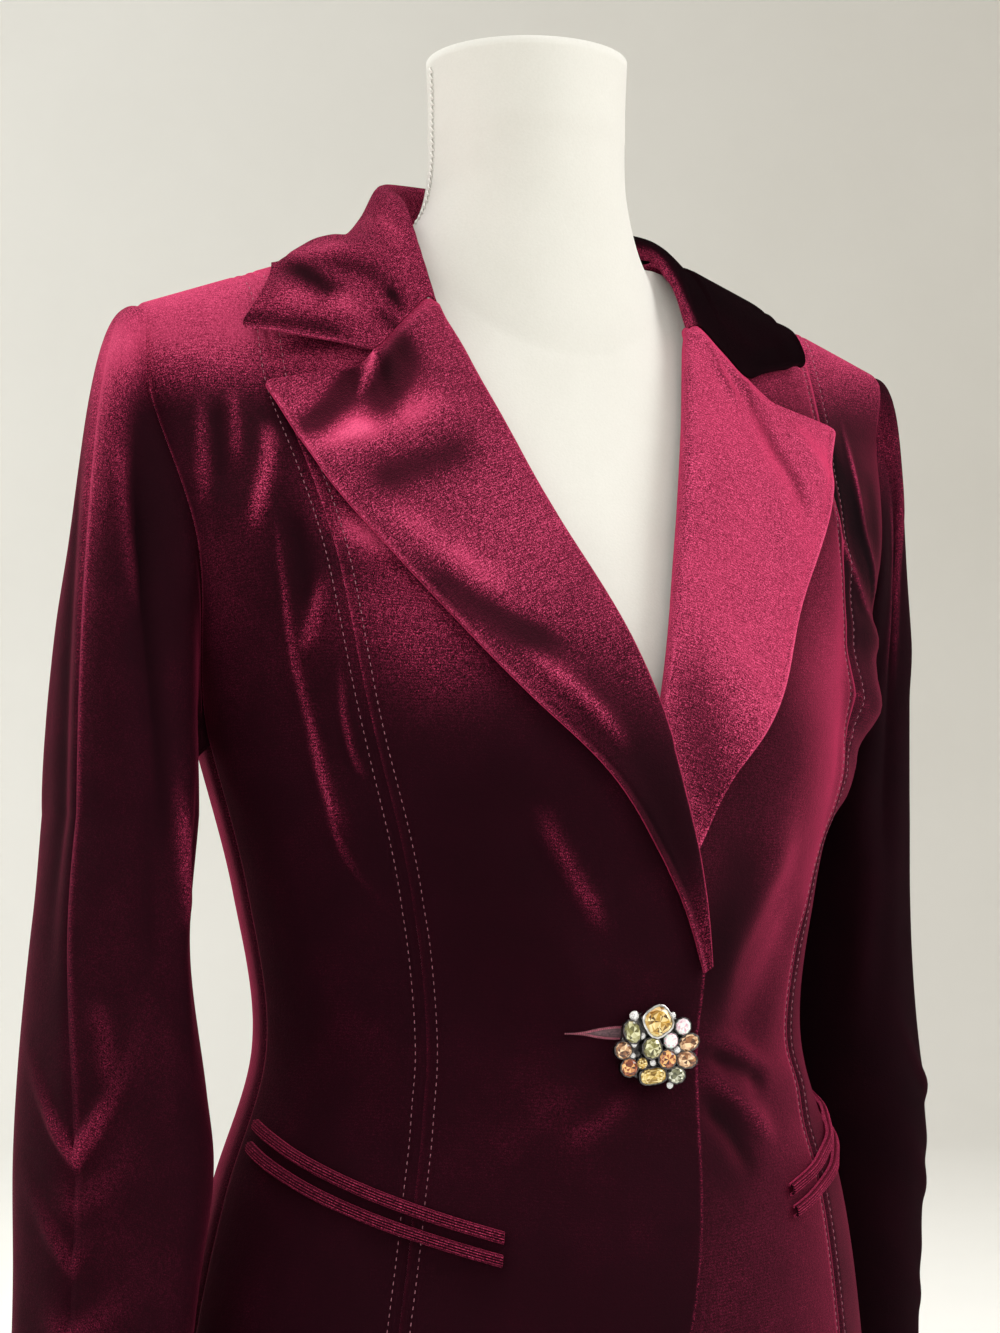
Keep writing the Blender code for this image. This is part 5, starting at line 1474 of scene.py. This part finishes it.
def pocket(side_name):
    """Two ribbed welts, one each side of the slanted mouth, which gapes a little."""
    part = np.linspace(0.0, 1.0, WELT_ROWS)
    share = POCKET_SIDE_SHARE + (POCKET_FRONT_SHARE - POCKET_SIDE_SHARE) * part
    side_z = POCKET_SIDE_Z[side_name]
    mouth = side_z + (POCKET_FRONT_Z[side_name] - side_z) * part
    across = np.linspace(0, 1, WELT_COLUMNS)
    crests = np.cos(across * WELT_RIBS * 2 * math.pi)
    for place, sign in (("upper", 1.0), ("lower", -1.0)):
        columns = []
        normals = []
        for step, crest in zip(across, crests):
            height = mouth + sign * (POCKET_MOUTH / 2 + WELT_WIDTH * step)
            flat = BLAZER.point(share, height, FRONT)
            lift, _ = front_lift(side_name, flat[:, 0], flat[:, 2], share)
            rounded = WELT_ROUND * (1 - (2 * step - 1) ** 4) ** 0.5
            wander = WELT_WANDER * np.sin(part * 23 + sign) * (0.5 + 0.5 * step)
            lift = lift + WALL + WELT_CLEAR + rounded + WELT_RIB * crest + wander
            columns.append(BLAZER.lifted(share, height, FRONT, lift))
            normals.append(BLAZER.normal(share, height, FRONT))
        grid, outward = (np.stack(lines, axis=1) * mirror(side_name) for lines in (columns, normals))
        # The rib crests are painted lighter and the hollows darker, as painted highlight and shade
        pile = np.tile(WELT_PILE + WELT_RIB_PILE * crests, (len(part), 1))
        name = "pocket_welt_" + place + "_" + side_name
        lean = PANEL_LEAN[side_name]
        rests_on = ["front_" + side_name]
        cloth(name, grid, outward, pile, lean, "welt_velvet", rests_on, "folded", WELT_CLOTH, 2)


def dress_form():
    """The limbless form: the blazer's sections made smaller, with a neck."""

    def eased(levels, facing):
        foot = []
        for level in FORM_FOOT:
            depth = level.front if facing == FRONT else level.back
            foot.append(BodyLevel(level.height, depth, level.edge_x, FORM_FOOT_Y, 1.0))
        for level, ease in zip(levels, FORM_EASE):
            foot.append(level._replace(depth=level.depth - ease, edge_x=level.edge_x - ease))
        return tuple(foot)

    front, back = eased(FRONT_LEVELS, FRONT), eased(BACK_LEVELS, BACK)
    figure = Figure(front, back, FORM_DROP, FORM_NECK_INSET, NECK_SHARE + ROUND_EASE)
    heights = body_heights(0.0, FORM_LOWER_ROWS, FORM_UPPER_ROWS)
    half = neck_and_shoulder(FORM_NECK_COLUMNS, FORM_COLUMNS)
    shares = np.concatenate([-half[:0:-1], half])
    bm = bmesh.new()
    for facing in (FRONT, BACK):
        spots = figure.point(*np.meshgrid(shares, heights), facing)
        verts = [bm.verts.new(spot) for spot in spots]
        for corners in grid_faces(len(heights), len(shares)):
            bm.faces.new([verts[corner] for corner in corners])
    bmesh.ops.remove_doubles(bm, verts=bm.verts, dist=1e-5)
    feet = {}
    neck = []
    for edge in bm.edges:
        if edge.is_boundary and all(
            v.co.z > NECK_PIT[2] - 0.01 and abs(v.co.x) < NECK_SIDE[0] for v in edge.verts
        ):
            neck.append(edge)
            feet.update((v, v.co.copy()) for v in edge.verts)

    def raised(edges, spot):
        """Draws the open rim on to new places, each found from its foot and its angle round the neck."""
        made = bmesh.ops.extrude_edge_only(bm, edges=edges)["geom"]
        fresh = {g for g in made if isinstance(g, bmesh.types.BMVert)}
        for vert in fresh:
            ends = [e.other_vert(vert) for e in vert.link_edges]
            foot = feet[next(end for end in ends if end not in fresh)]
            vert.co = spot(foot, math.atan2(foot.y - NECK_RINGS[0].middle_y, foot.x))
            feet[vert] = foot
        return [e for e in bm.edges if e.is_boundary and all(v in fresh for v in e.verts)]

    def ring_spot(ring, angle):
        return ring.half_x * math.cos(angle), ring.middle_y + ring.half_y * math.sin(angle), ring.height

    for rise in (*np.linspace(0, 1, 15)[1:], *np.linspace(1, 4, 22)[1:]):

        def up_neck(foot, angle):
            track = [tuple(foot)] + [ring_spot(ring, angle) for ring in NECK_RINGS]
            return splined(range(5), track, [rise])[0]

        neck = raised(neck, up_neck)
    top = NECK_RINGS[-1]
    for scale, rise in NECK_CAP:
        sized = NeckRing(top.height + rise, top.half_x * scale, top.half_y * scale, 0.0)
        neck = raised(neck, lambda foot, angle: ring_spot(sized, angle))
    bmesh.ops.holes_fill(bm, edges=[e for e in bm.edges if e.is_boundary], sides=0)
    low, high = NECK_SOFT_HEIGHTS
    soften = [v for v in bm.verts if low < v.co.z < high and abs(v.co.x) < NECK_SOFT_X]
    for _ in range(NECK_SOFT_ROUNDS):
        bmesh.ops.smooth_vert(bm, verts=soften, factor=0.5, use_axis_x=True, use_axis_y=True, use_axis_z=True)
    bmesh.ops.recalc_face_normals(bm, faces=bm.faces)
    mesh = bpy.data.meshes.new("form")
    bm.to_mesh(mesh)
    bm.free()
    mesh.polygons.foreach_set("use_smooth", np.ones(len(mesh.polygons), bool))
    piece = linked("form", mesh, jersey_knit())
    belongs(piece, "dress_form")
    return piece


# Jewelled button: stones by their place on the mount, size, turn, cut and colour
LAYER_GAP = 0.0005
BUTTON_X = -0.004
BUTTON_Z = 0.329
MOUNT_RADIUS = 0.0150
MOUNT_DEPTH = 0.0020
MOUNT_CLEAR = 0.0022
DOME = 0.0022
DOME_REACH = 0.018
CLAW_THICKEST = 0.0017
BUTTON_TURN = math.radians(-8)
BUTTON_LOW = 0.97
Stone = namedtuple("Stone", "name x z width height turn cut colour")
STONES = (
    Stone("stone_gold_square", -0.0002, 0.0108, 0.0118, 0.0118, 32, "square", "gold"),
    Stone("stone_olive_oval", -0.0112, 0.0066, 0.0072, 0.0094, 20, "round", "olive"),
    Stone("stone_pearl_upper", 0.0116, 0.0083, 0.0068, 0.0068, 0, "round", "pearl"),
    Stone("stone_pearl_inner", 0.0056, 0.0025, 0.0064, 0.0064, 0, "round", "pearl"),
    Stone("stone_olive_round", -0.0030, -0.0004, 0.0084, 0.0084, 0, "round", "olive"),
    Stone("stone_peach_left", -0.0150, -0.0010, 0.0074, 0.0070, 0, "round", "peach"),
    Stone("stone_peach_upper", 0.0142, 0.0014, 0.0090, 0.0068, 18, "round", "peach"),
    Stone("stone_peach_lower", 0.0130, -0.0057, 0.0094, 0.0068, -10, "round", "peach"),
    Stone("stone_amber_round", 0.0040, -0.0052, 0.0076, 0.0076, 0, "round", "amber"),
    Stone("stone_amber_left", -0.0124, -0.0083, 0.0074, 0.0074, 0, "round", "amber"),
    Stone("stone_yellow_small", -0.0068, -0.0067, 0.0046, 0.0046, 0, "round", "yellow"),
    Stone("stone_yellow_long", -0.0020, -0.0122, 0.0116, 0.0066, 6, "square", "yellow"),
    Stone("stone_olive_grey", 0.0086, -0.0122, 0.0076, 0.0066, 0, "round", "grey"),
    Stone("stone_clear_upper", -0.0098, 0.0132, 0.0038, 0.0038, 0, "round", "clear"),
    Stone("stone_clear_right", 0.0074, 0.0130, 0.0026, 0.0026, 0, "round", "clear"),
    Stone("stone_clear_inner", -0.0066, 0.0047, 0.0026, 0.0026, 0, "round", "clear"),
    Stone("stone_clear_middle", 0.0090, -0.0016, 0.0028, 0.0028, 0, "round", "clear"),
    Stone("stone_clear_low", 0.0063, -0.0165, 0.0026, 0.0026, 0, "round", "clear"),
    Stone("", -0.0102, 0.0016, 0.0027, 0.0027, 0, "round", "clear"),
    Stone("", -0.0107, -0.0034, 0.0022, 0.0022, 0, "round", "clear"),
    Stone("", -0.0020, -0.0066, 0.0025, 0.0025, 0, "round", "clear"),
)
# Each glass's dark, middle and pale shade; the facets are painted among them as glints and dark reflections
GEM_SHADES = {
    "gold": ((0.09, 0.036, 0.003), (0.58, 0.31, 0.025), (1.0, 0.84, 0.42)),
    "olive": ((0.050, 0.045, 0.010), (0.27, 0.25, 0.075), (0.84, 0.82, 0.52)),
    "grey": ((0.035, 0.037, 0.022), (0.22, 0.22, 0.12), (0.84, 0.84, 0.70)),
    "pearl": ((0.74, 0.40, 0.52), (0.95, 0.89, 0.91), (0.72, 0.92, 0.88)),
    "peach": ((0.075, 0.024, 0.009), (0.38, 0.15, 0.055), (1.0, 0.70, 0.42)),
    "amber": ((0.055, 0.008, 0.004), (0.36, 0.070, 0.018), (1.0, 0.56, 0.20)),
    "yellow": ((0.17, 0.085, 0.006), (0.62, 0.38, 0.050), (1.0, 0.86, 0.44)),
    "clear": ((0.45, 0.43, 0.46), (0.90, 0.89, 0.91), (1.0, 1.0, 1.0)),
}


def gem_finish(name):
    """Cut glass: each facet is painted its own light or dark shade, as painted glints and dark reflections,
    under a polished face.
    """
    finish = Finish("glass_" + name)
    finish.coloured(finish.attribute("facet", "Fac"), tuple(zip((0.05, 0.5, 0.97), GEM_SHADES[name])))
    return finish.done(Metallic=0.12, Roughness=0.12, IOR=1.6, Coat_Weight=0.5, Coat_Roughness=0.02)


def metal_finish(name, dark, light, rough):
    finish = Finish(name)
    finish.coloured(finish.noise(700.0, 3.0), ((0.35, dark), (0.70, light)))
    return finish.done(Metallic=1.0, Roughness=rough)


def open_mesh(piece):
    bpy.ops.object.select_all(action="DESELECT")
    piece.select_set(True)
    bpy.context.view_layer.objects.active = piece
    bpy.ops.object.mode_set(mode="EDIT")
    bpy.ops.mesh.select_mode(type="FACE")


def pick_end(piece, way, *insets):
    """Selects the outermost flat end of the open mesh, up or down, and insets it step by step."""
    shape = bmesh.from_edit_mesh(piece.data)
    for face in shape.faces:
        face.select_set(False)
    end = max(shape.faces, key=lambda face: way * face.calc_center_median().z)
    end.select_set(True)
    bmesh.update_edit_mesh(piece.data)
    for thickness, depth in insets:
        bpy.ops.mesh.inset(thickness=thickness, depth=depth)


def cylinder(vertices, radius, depth, low):
    bpy.ops.object.select_all(action="DESELECT")
    place = (0, 0, low + depth / 2)
    bpy.ops.mesh.primitive_cylinder_add(vertices=vertices, radius=radius, depth=depth, location=place)
    return bpy.context.object


def block(cut, half, depth, low):
    """A round or a square block with blunted corners, ready for cutting."""
    if cut == "round":
        piece = cylinder(10, half, depth, -depth / 2)
    else:
        bpy.ops.object.select_all(action="DESELECT")
        bpy.ops.mesh.primitive_cube_add(size=1.0, location=(0, 0, 0))
        piece = bpy.context.object
    open_mesh(piece)
    bpy.ops.mesh.select_all(action="SELECT")
    if cut == "square":
        bpy.ops.transform.resize(value=(2 * half, 2 * half, depth), center_override=(0, 0, 0))
    bpy.ops.transform.translate(value=(0, 0, low + depth / 2))
    if cut == "square":
        shape = bmesh.from_edit_mesh(piece.data)
        for edge in shape.edges:
            edge.select_set(abs(edge.verts[0].co.z - edge.verts[1].co.z) > depth / 2)
        bmesh.update_edit_mesh(piece.data)
        bpy.ops.mesh.bevel(offset=0.70 * half, segments=3, affect="EDGES")
        bpy.ops.mesh.select_mode(type="FACE")
    return piece


def by_place(face):
    """One number for a facet's place on a stone one wide: by its height, then across."""
    x, y, z = (round(part, 3) for part in face.calc_center_median())
    return z * 1e6 + y * 1e3 + x


def cut_stone(cut):
    """A stone one wide and one high, with a girdle, a crown in rings of facets, a table and a pavilion."""
    stone = block(cut, 0.5 if cut == "round" else 0.47, 0.10, 0.15)
    turn = math.pi / 10 if cut == "round" else 0.0
    rings = {"round": ((0.08, 0.10), (0.13, 0.05)), "square": ((0.07, 0.10), (0.08, 0.05), (0.14, 0.01))}
    for ring in rings[cut]:
        pick_end(stone, 1, ring)
        bpy.ops.transform.rotate(value=turn, orient_axis="Z", center_override=(0, 0, 0))
    bpy.ops.mesh.poke(offset=0.012)
    pick_end(stone, -1, (0.22, 0.13))
    bpy.ops.mesh.select_all(action="SELECT")
    bpy.ops.mesh.quads_convert_to_tris()
    bpy.ops.mesh.normals_make_consistent(inside=False)
    if cut == "square":
        # A bevel numbers its faces in another order each run, and the shades go by number.
        shape = bmesh.from_edit_mesh(stone.data)
        shape.faces.sort(key=by_place)
        bmesh.update_edit_mesh(stone.data)
    bpy.ops.object.mode_set(mode="OBJECT")
    return stone


def cup(cut):
    """A bezel for a stone one wide: a rim round a sunk floor."""
    piece = block(cut, 0.57 if cut == "round" else 0.545, 0.30, 0.0)
    pick_end(piece, 1, (0.02, 0.015), (0.05, 0.0), (0.03, -0.14))
    bpy.ops.object.mode_set(mode="OBJECT")
    return piece


def prong():
    """A small rounded claw, one high, that leans inwards at its tip."""
    piece = cylinder(8, 0.16, 0.8, 0.0)
    open_mesh(piece)
    pick_end(piece, 1, (0.04, 0.12))
    bpy.ops.transform.translate(value=(-0.10, 0, 0))
    bpy.ops.mesh.inset(thickness=0.05, depth=0.05)
    bpy.ops.object.mode_set(mode="OBJECT")
    return piece


def placed_copy(name, model, matrix, finish):
    mesh = model.data.copy()
    mesh.name = name
    mesh.transform(matrix)
    return linked(name, mesh, finish)


def joined(name, pieces, smooth_angle=None):
    bpy.ops.object.select_all(action="DESELECT")
    for piece in pieces:
        piece.select_set(True)
    bpy.context.view_layer.objects.active = pieces[0]
    bpy.ops.object.join()
    whole = bpy.context.object
    whole.name = name
    if smooth_angle:
        bpy.ops.object.shade_smooth_by_angle(angle=math.radians(smooth_angle))
    return whole


def button_place():
    """The button's place on the right front, facing out and a little turned."""
    share, height = BLAZER.seen_from_front(np.array([-BUTTON_X]), np.array([BUTTON_Z]))
    flat = BLAZER.point(share, height, FRONT)
    lift = WALL + LAYER_GAP + lap_rise(flat[:, 0], flat[:, 2]) + fold_rise(flat[:, 0], flat[:, 2])
    foot = Vector(BLAZER.lifted(share, height, FRONT, lift + MOUNT_DEPTH / 2 + MOUNT_CLEAR)[0])
    foot.x = BUTTON_X
    turned = Matrix.Rotation(BUTTON_TURN, 4, "Z") @ Matrix.Rotation(math.pi / 2, 4, "X")
    return Matrix.Translation(foot) @ turned


def button_mount(place, gunmetal):
    """A domed plate with a shank behind it."""
    mount = cylinder(40, MOUNT_RADIUS, MOUNT_DEPTH, -MOUNT_DEPTH / 2)
    mount.name = "button_back"
    open_mesh(mount)
    pick_end(mount, 1, (0.0012, 0.0005), (0.0030, 0.0006), (0.0040, 0.0003))
    pick_end(mount, -1, (0.0100, 0.0), (0.0020, 0.0018))
    bpy.ops.object.mode_set(mode="OBJECT")
    mount.data.materials.append(gunmetal)
    bpy.ops.object.shade_smooth_by_angle(angle=math.radians(35))
    mount.data.transform(place)
    mount.matrix_world = Matrix.Identity(4)
    belongs(mount, "button_mount")


def painted_facet_glints(gem, number):
    """Gives each facet of a stone its own painted light or dark shade, as painted glints and reflections of
    cut glass.
    """
    facet = gem.data.attributes.new("facet", "FLOAT", "FACE")
    count = np.arange(len(gem.data.polygons)) + 1
    shades = np.modf(np.abs(np.sin(count * 12.9898 + number * 4.1)) * 43758.5453)[0]
    facet.data.foreach_set("value", shades.astype(np.float32))


def jewelled_button():
    """The cluster button: a mount, cups with claws and cut stones, on the right front."""
    place = button_place()
    gunmetal = metal_finish("gunmetal", (0.035, 0.032, 0.034), (0.16, 0.15, 0.15), 0.32)
    silver = metal_finish("silver_bezel", (0.42, 0.41, 0.40), (0.78, 0.77, 0.75), 0.18)
    models = {cut: cut_stone(cut) for cut in ("round", "square")}
    cups = {cut: cup(cut) for cut in models}
    claw_model = prong()
    gems = {colour: gem_finish(colour) for colour in GEM_SHADES}
    settings = []
    chips = []
    for number, stone in enumerate(STONES):
        dome = DOME * (1 - (stone.x**2 + stone.z**2) / DOME_REACH**2)
        small = min(stone.width, stone.height)
        seat = Vector((stone.x, stone.z * BUTTON_LOW, MOUNT_DEPTH / 2 + LAYER_GAP + dome))
        shape = place @ Matrix.Translation(seat)
        shape = shape @ Matrix.Rotation(math.radians(stone.turn), 4, "Z")
        sized = shape @ Matrix.Diagonal((stone.width, stone.height, small, 1.0))
        gem = placed_copy("gem_%d" % number, models[stone.cut], sized, gems[stone.colour])
        painted_facet_glints(gem, number)
        if stone.name:
            belongs(gem, stone.name)
        else:
            chips.append(gem)
        bezel = silver if stone.colour in ("gold", "clear") else gunmetal
        sunk = sized @ Matrix.Translation((0, 0, -0.06))
        settings.append(placed_copy("cup", cups[stone.cut], sunk, bezel))
        reach = Matrix.Translation((0.5 * (stone.width + stone.height) / 2 * 1.03, 0, 0))
        thick = min(0.30 * small, CLAW_THICKEST)
        for step in range(4):
            claw = shape @ Matrix.Rotation(math.radians(45 + 90 * step), 4, "Z") @ reach
            claw = claw @ Matrix.Diagonal((thick, thick, 0.36 * small, 1.0))
            settings.append(placed_copy("claw", claw_model, claw, bezel))
    belongs(joined("clear_chips", chips))
    belongs(joined("button_cups", settings, 40))
    button_mount(place, gunmetal)
    for model in (*models.values(), *cups.values(), claw_model):
        bpy.data.objects.remove(model)


def thread_finish(name, dark, light):
    finish = Finish(name)
    finish.coloured(finish.noise(2600.0, 2.0), ((0.35, dark), (0.65, light)))
    return finish.done(Roughness=0.55, Sheen_Weight=0.4)


def stitches(name, starts, ends, normals, width, rise, finish):
    """Short threads from starts to ends, rounded over and sunk at both ends, as one piece."""
    along_way = ends - starts
    side = np.cross(along_way, normals)
    side /= np.linalg.norm(side, axis=1)[:, None]
    sections = []
    crest = 0.7 * rise
    sunk = -0.0003
    for part, wide, high in ((0.0, 0.5, sunk), (0.25, 1.0, crest), (0.75, 1.0, crest), (1.0, 0.5, sunk)):
        middle = starts + along_way * part + normals * high
        out, up = side * (width * wide / 2), normals * (width * wide / 2)
        sections.append(np.stack([middle - out, middle + up, middle + out, middle - up], axis=1))
    spots = np.stack(sections, axis=1).reshape(-1, 3)
    faces = []
    for a in range(12):
        b = a - a % 4 + (a + 1) % 4
        faces.append((a, b, b + 4, a + 4))
    faces = (np.array(faces)[None] + 16 * np.arange(len(starts))[:, None, None]).reshape(-1, 4)
    belongs(mesh_piece(name, spots, faces, finish))


def spaced(path, normals, pitch, length):
    """Where stitches of a length start and end along a path."""
    run = run_of(path)
    at = np.arange(0.002, run[-1] - length, pitch)
    up = spots_at(normals, run, at + length / 2)
    starts, ends = spots_at(path, run, at), spots_at(path, run, at + length)
    return starts, ends, up / np.linalg.norm(up, axis=1)[:, None]


def topstitching():
    """A row of stitches on each side of both princess seams."""
    thread = thread_finish("wine_thread", (0.20, 0.035, 0.065), (0.46, 0.16, 0.22))
    heights = np.linspace(HEM_HEIGHT + 0.004, CROWN_HEIGHT - 0.012, 1400)
    rows = []
    for side_name in SIDES:
        for way in (-1.0, 1.0):
            share = along(PRINCESS[side_name], heights)
            step = 1e-3
            stretch = BLAZER.point(share + step, heights, FRONT) - BLAZER.point(share - step, heights, FRONT)
            share = share + way * STITCH_AWAY * 2 * step / np.linalg.norm(stretch, axis=1)
            flat = BLAZER.point(share, heights, FRONT)
            lift, _ = front_lift(side_name, flat[:, 0], flat[:, 2], share)
            side = mirror(side_name)
            path = BLAZER.lifted(share, heights, FRONT, lift + WALL - STITCH_DIP + 0.0001) * side
            rows.append(spaced(path, BLAZER.normal(share, heights, FRONT) * side, THREAD_PITCH, THREAD_LONG))
    starts, ends, normals = (np.concatenate(column) for column in zip(*rows))
    stitches("princess_topstitching", starts, ends, normals, THREAD_WIDE, 0.0002, thread)


def lining_finish():
    finish = Finish("mauve_lining")
    finish.coloured(finish.noise(1500.0, 2.0), ((0.3, (0.055, 0.028, 0.036)), (0.7, (0.200, 0.110, 0.130))))
    return finish.done(Roughness=0.7)


def buttonhole():
    """A slit beside the button with an open mauve lining and overcast lips."""
    part = np.linspace(0, 1, 60)
    x = HOLE_FROM[0] + (HOLE_TO[0] - HOLE_FROM[0]) * part
    z = HOLE_FROM[1] + (HOLE_TO[1] - HOLE_FROM[1]) * part
    gape = HOLE_GAPE * spline([0, 0.3, 0.5, 0.78, 1], [0.0, 0.05, 0.62, 1.0, 0.75], part)
    lip = HOLE_LIP * (0.15 + 0.85 * smooth(part * 2.6))

    def on_front(up, above):
        share, height = BLAZER.seen_from_front(x, z + up)
        flat = BLAZER.point(share, height, FRONT)
        lift, _ = front_lift("right", flat[:, 0], flat[:, 2], share)
        spots = BLAZER.lifted(share, height, FRONT, lift + WALL + above)
        return spots * mirror("right"), BLAZER.normal(share, height, FRONT) * mirror("right")

    levels = np.linspace(-1, 1, 9)
    rows = np.stack([on_front(gape * t, 0.00012 + 0.0002 * (1 - t * t))[0] for t in levels], axis=1)
    faces = grid_faces(*rows.shape[:2])[:, ::-1]
    belongs(mesh_piece("buttonhole_lining", rows.reshape(-1, 3), faces, lining_finish()))
    overcast = thread_finish("overcast_thread", (0.12, 0.010, 0.030), (0.68, 0.14, 0.23))
    lips = []
    for sign in (-1.0, 1.0):
        inner, _ = on_front(sign * gape, 0.0004)
        outer, up = on_front(sign * (gape + lip), 0.0002)
        run = run_of(outer)
        at = np.arange(0.0, run[-1], OVERCAST_PITCH)
        slanted = np.clip(at + 0.0003, 0, run[-1])
        lips.append((spots_at(inner, run, at), spots_at(outer, run, slanted), spots_at(up, run, at)))
    starts, ends, normals = (np.concatenate(column) for column in zip(*lips))
    stitches("buttonhole_overcast", starts, ends, normals, 0.00072, 0.0008, overcast)


def neck_stitches(form):
    """Whip stitches up both sides of the form's neck, where its jersey cover is closed."""
    cotton = thread_finish("cream_thread", (0.62, 0.60, 0.54), (0.86, 0.84, 0.79))
    corners = [vert.co for vert in form.data.vertices]
    skin = BVHTree.FromPolygons(corners, [face.vertices for face in form.data.polygons])
    seams = []
    for degrees in NECK_SEAM_TURNS:
        turn = math.radians(degrees)
        out = Vector((math.cos(turn), math.sin(turn), 0.0))
        heights = np.linspace(0.684, 0.769, 200)
        path = np.array([skin.ray_cast(Vector((0.0, 0.0, z)), out)[0] + out * 0.0003 for z in heights])
        starts, ends, up = spaced(path, np.tile(np.array(out), (len(path), 1)), 0.0030, 0.0034)
        around = np.cross(up, np.array([0.0, 0.0, 1.0])) * 0.0016
        seams.append((starts - around, ends + around, up))
    starts, ends, normals = (np.concatenate(column) for column in zip(*seams))
    stitches("neck_whip_stitches", starts, ends, normals, 0.0011, 0.0007, cotton)


def studio():
    """A pale floor that curves up into a pale wall all round, soft lights and the camera."""
    finish = Finish("pale_studio")
    mottle = finish.mixed("MULTIPLY", finish.noise(3.0, 3.0), 0.12)
    # Painted shade: the floor and wall are painted darker towards +x, over a faint mottle
    across = finish.add("SeparateXYZ", {"Vector": finish.place()})["X"]
    level = finish.mixed("ADD", finish.mixed("MULTIPLY", across, 0.36), 0.06)
    level = finish.mixed("ADD", level, mottle)
    finish.coloured(level, ((0.0, (0.90, 0.90, 0.87)), (1.0, (0.55, 0.53, 0.49))))
    material = finish.done(Roughness=0.95, Specular_IOR_Level=0.1)
    profile = [(0.0, 0.0), (1.0, 0.0), (FLOOR_RADIUS, 0.0)]
    for turn in np.linspace(0, math.pi / 2, 13)[1:]:
        profile.append((FLOOR_RADIUS + COVE * math.sin(turn), COVE - COVE * math.cos(turn)))
    profile.append((FLOOR_RADIUS + COVE, WALL_TOP))
    points = []
    for radius, height in profile:
        for step in range(FLOOR_SIDES):
            angle = 2 * math.pi * step / FLOOR_SIDES
            points.append((radius * math.cos(angle), radius * math.sin(angle), height - FLOOR_DROP))
    faces = []
    for a in range((len(profile) - 1) * FLOOR_SIDES):
        b = a - a % FLOOR_SIDES + (a + 1) % FLOOR_SIDES
        faces.append((a, b, b + FLOOR_SIDES, a + FLOOR_SIDES))
    mesh_piece("studio_floor", points, faces, material)

    world = bpy.data.worlds.new("soft_daylight")
    world.use_nodes = True
    sky = world.node_tree.nodes["Background"]
    sky.inputs["Color"].default_value = (1.0, 0.985, 0.96, 1.0)
    sky.inputs["Strength"].default_value = 1.0
    bpy.context.scene.world = world

    def soft_light(name, place, aim, width, height, power):
        light = bpy.data.lights.new(name, "AREA")
        light.shape = "RECTANGLE"
        light.size, light.size_y = width, height
        light.energy = power
        lamp = bpy.data.objects.new(name, light)
        lamp.location = place
        lamp.rotation_euler = (Vector(aim) - Vector(place)).to_track_quat("-Z", "Y").to_euler()
        bpy.context.scene.collection.objects.link(lamp)

    soft_light("window", (1.9, -1.2, 1.7), (0.0, 0.0, 0.45), 1.4, 1.4, 39)
    soft_light("fill", (-1.7, -1.9, 1.2), (0.0, 0.0, 0.5), 1.6, 1.6, 8)
    soft_light("overhead", (-0.3, 0.4, 2.6), (0.0, 0.0, 0.45), 1.8, 1.8, 32)

    camera = bpy.data.objects.new("camera", bpy.data.cameras.new("camera"))
    camera.data.lens = CAMERA_LENS
    camera.data.sensor_width = 36.0
    camera.data.clip_start = 0.05
    toward = Vector((*CAMERA_WAY, 0.0))
    sideways = Vector((CAMERA_WAY[1], -CAMERA_WAY[0], 0.0))
    up = Vector((0.0, 0.0, math.tan(CAMERA_UP)))
    aim = toward - sideways * math.tan(CAMERA_LEFT) + up
    camera.location = CAMERA_EYE
    camera.rotation_euler = aim.to_track_quat("-Z", "Y").to_euler()
    bpy.context.scene.collection.objects.link(camera)
    bpy.context.scene.camera = camera
    bpy.context.scene.view_settings.view_transform = "Standard"


studio()
form = dress_form()
gorges = collar()
for wearer_side in SIDES:
    body(wearer_side)
    lapel(wearer_side, gorges[wearer_side])
    sleeve(wearer_side)
    pocket(wearer_side)

jewelled_button()
buttonhole()
topstitching()
neck_stitches(form)
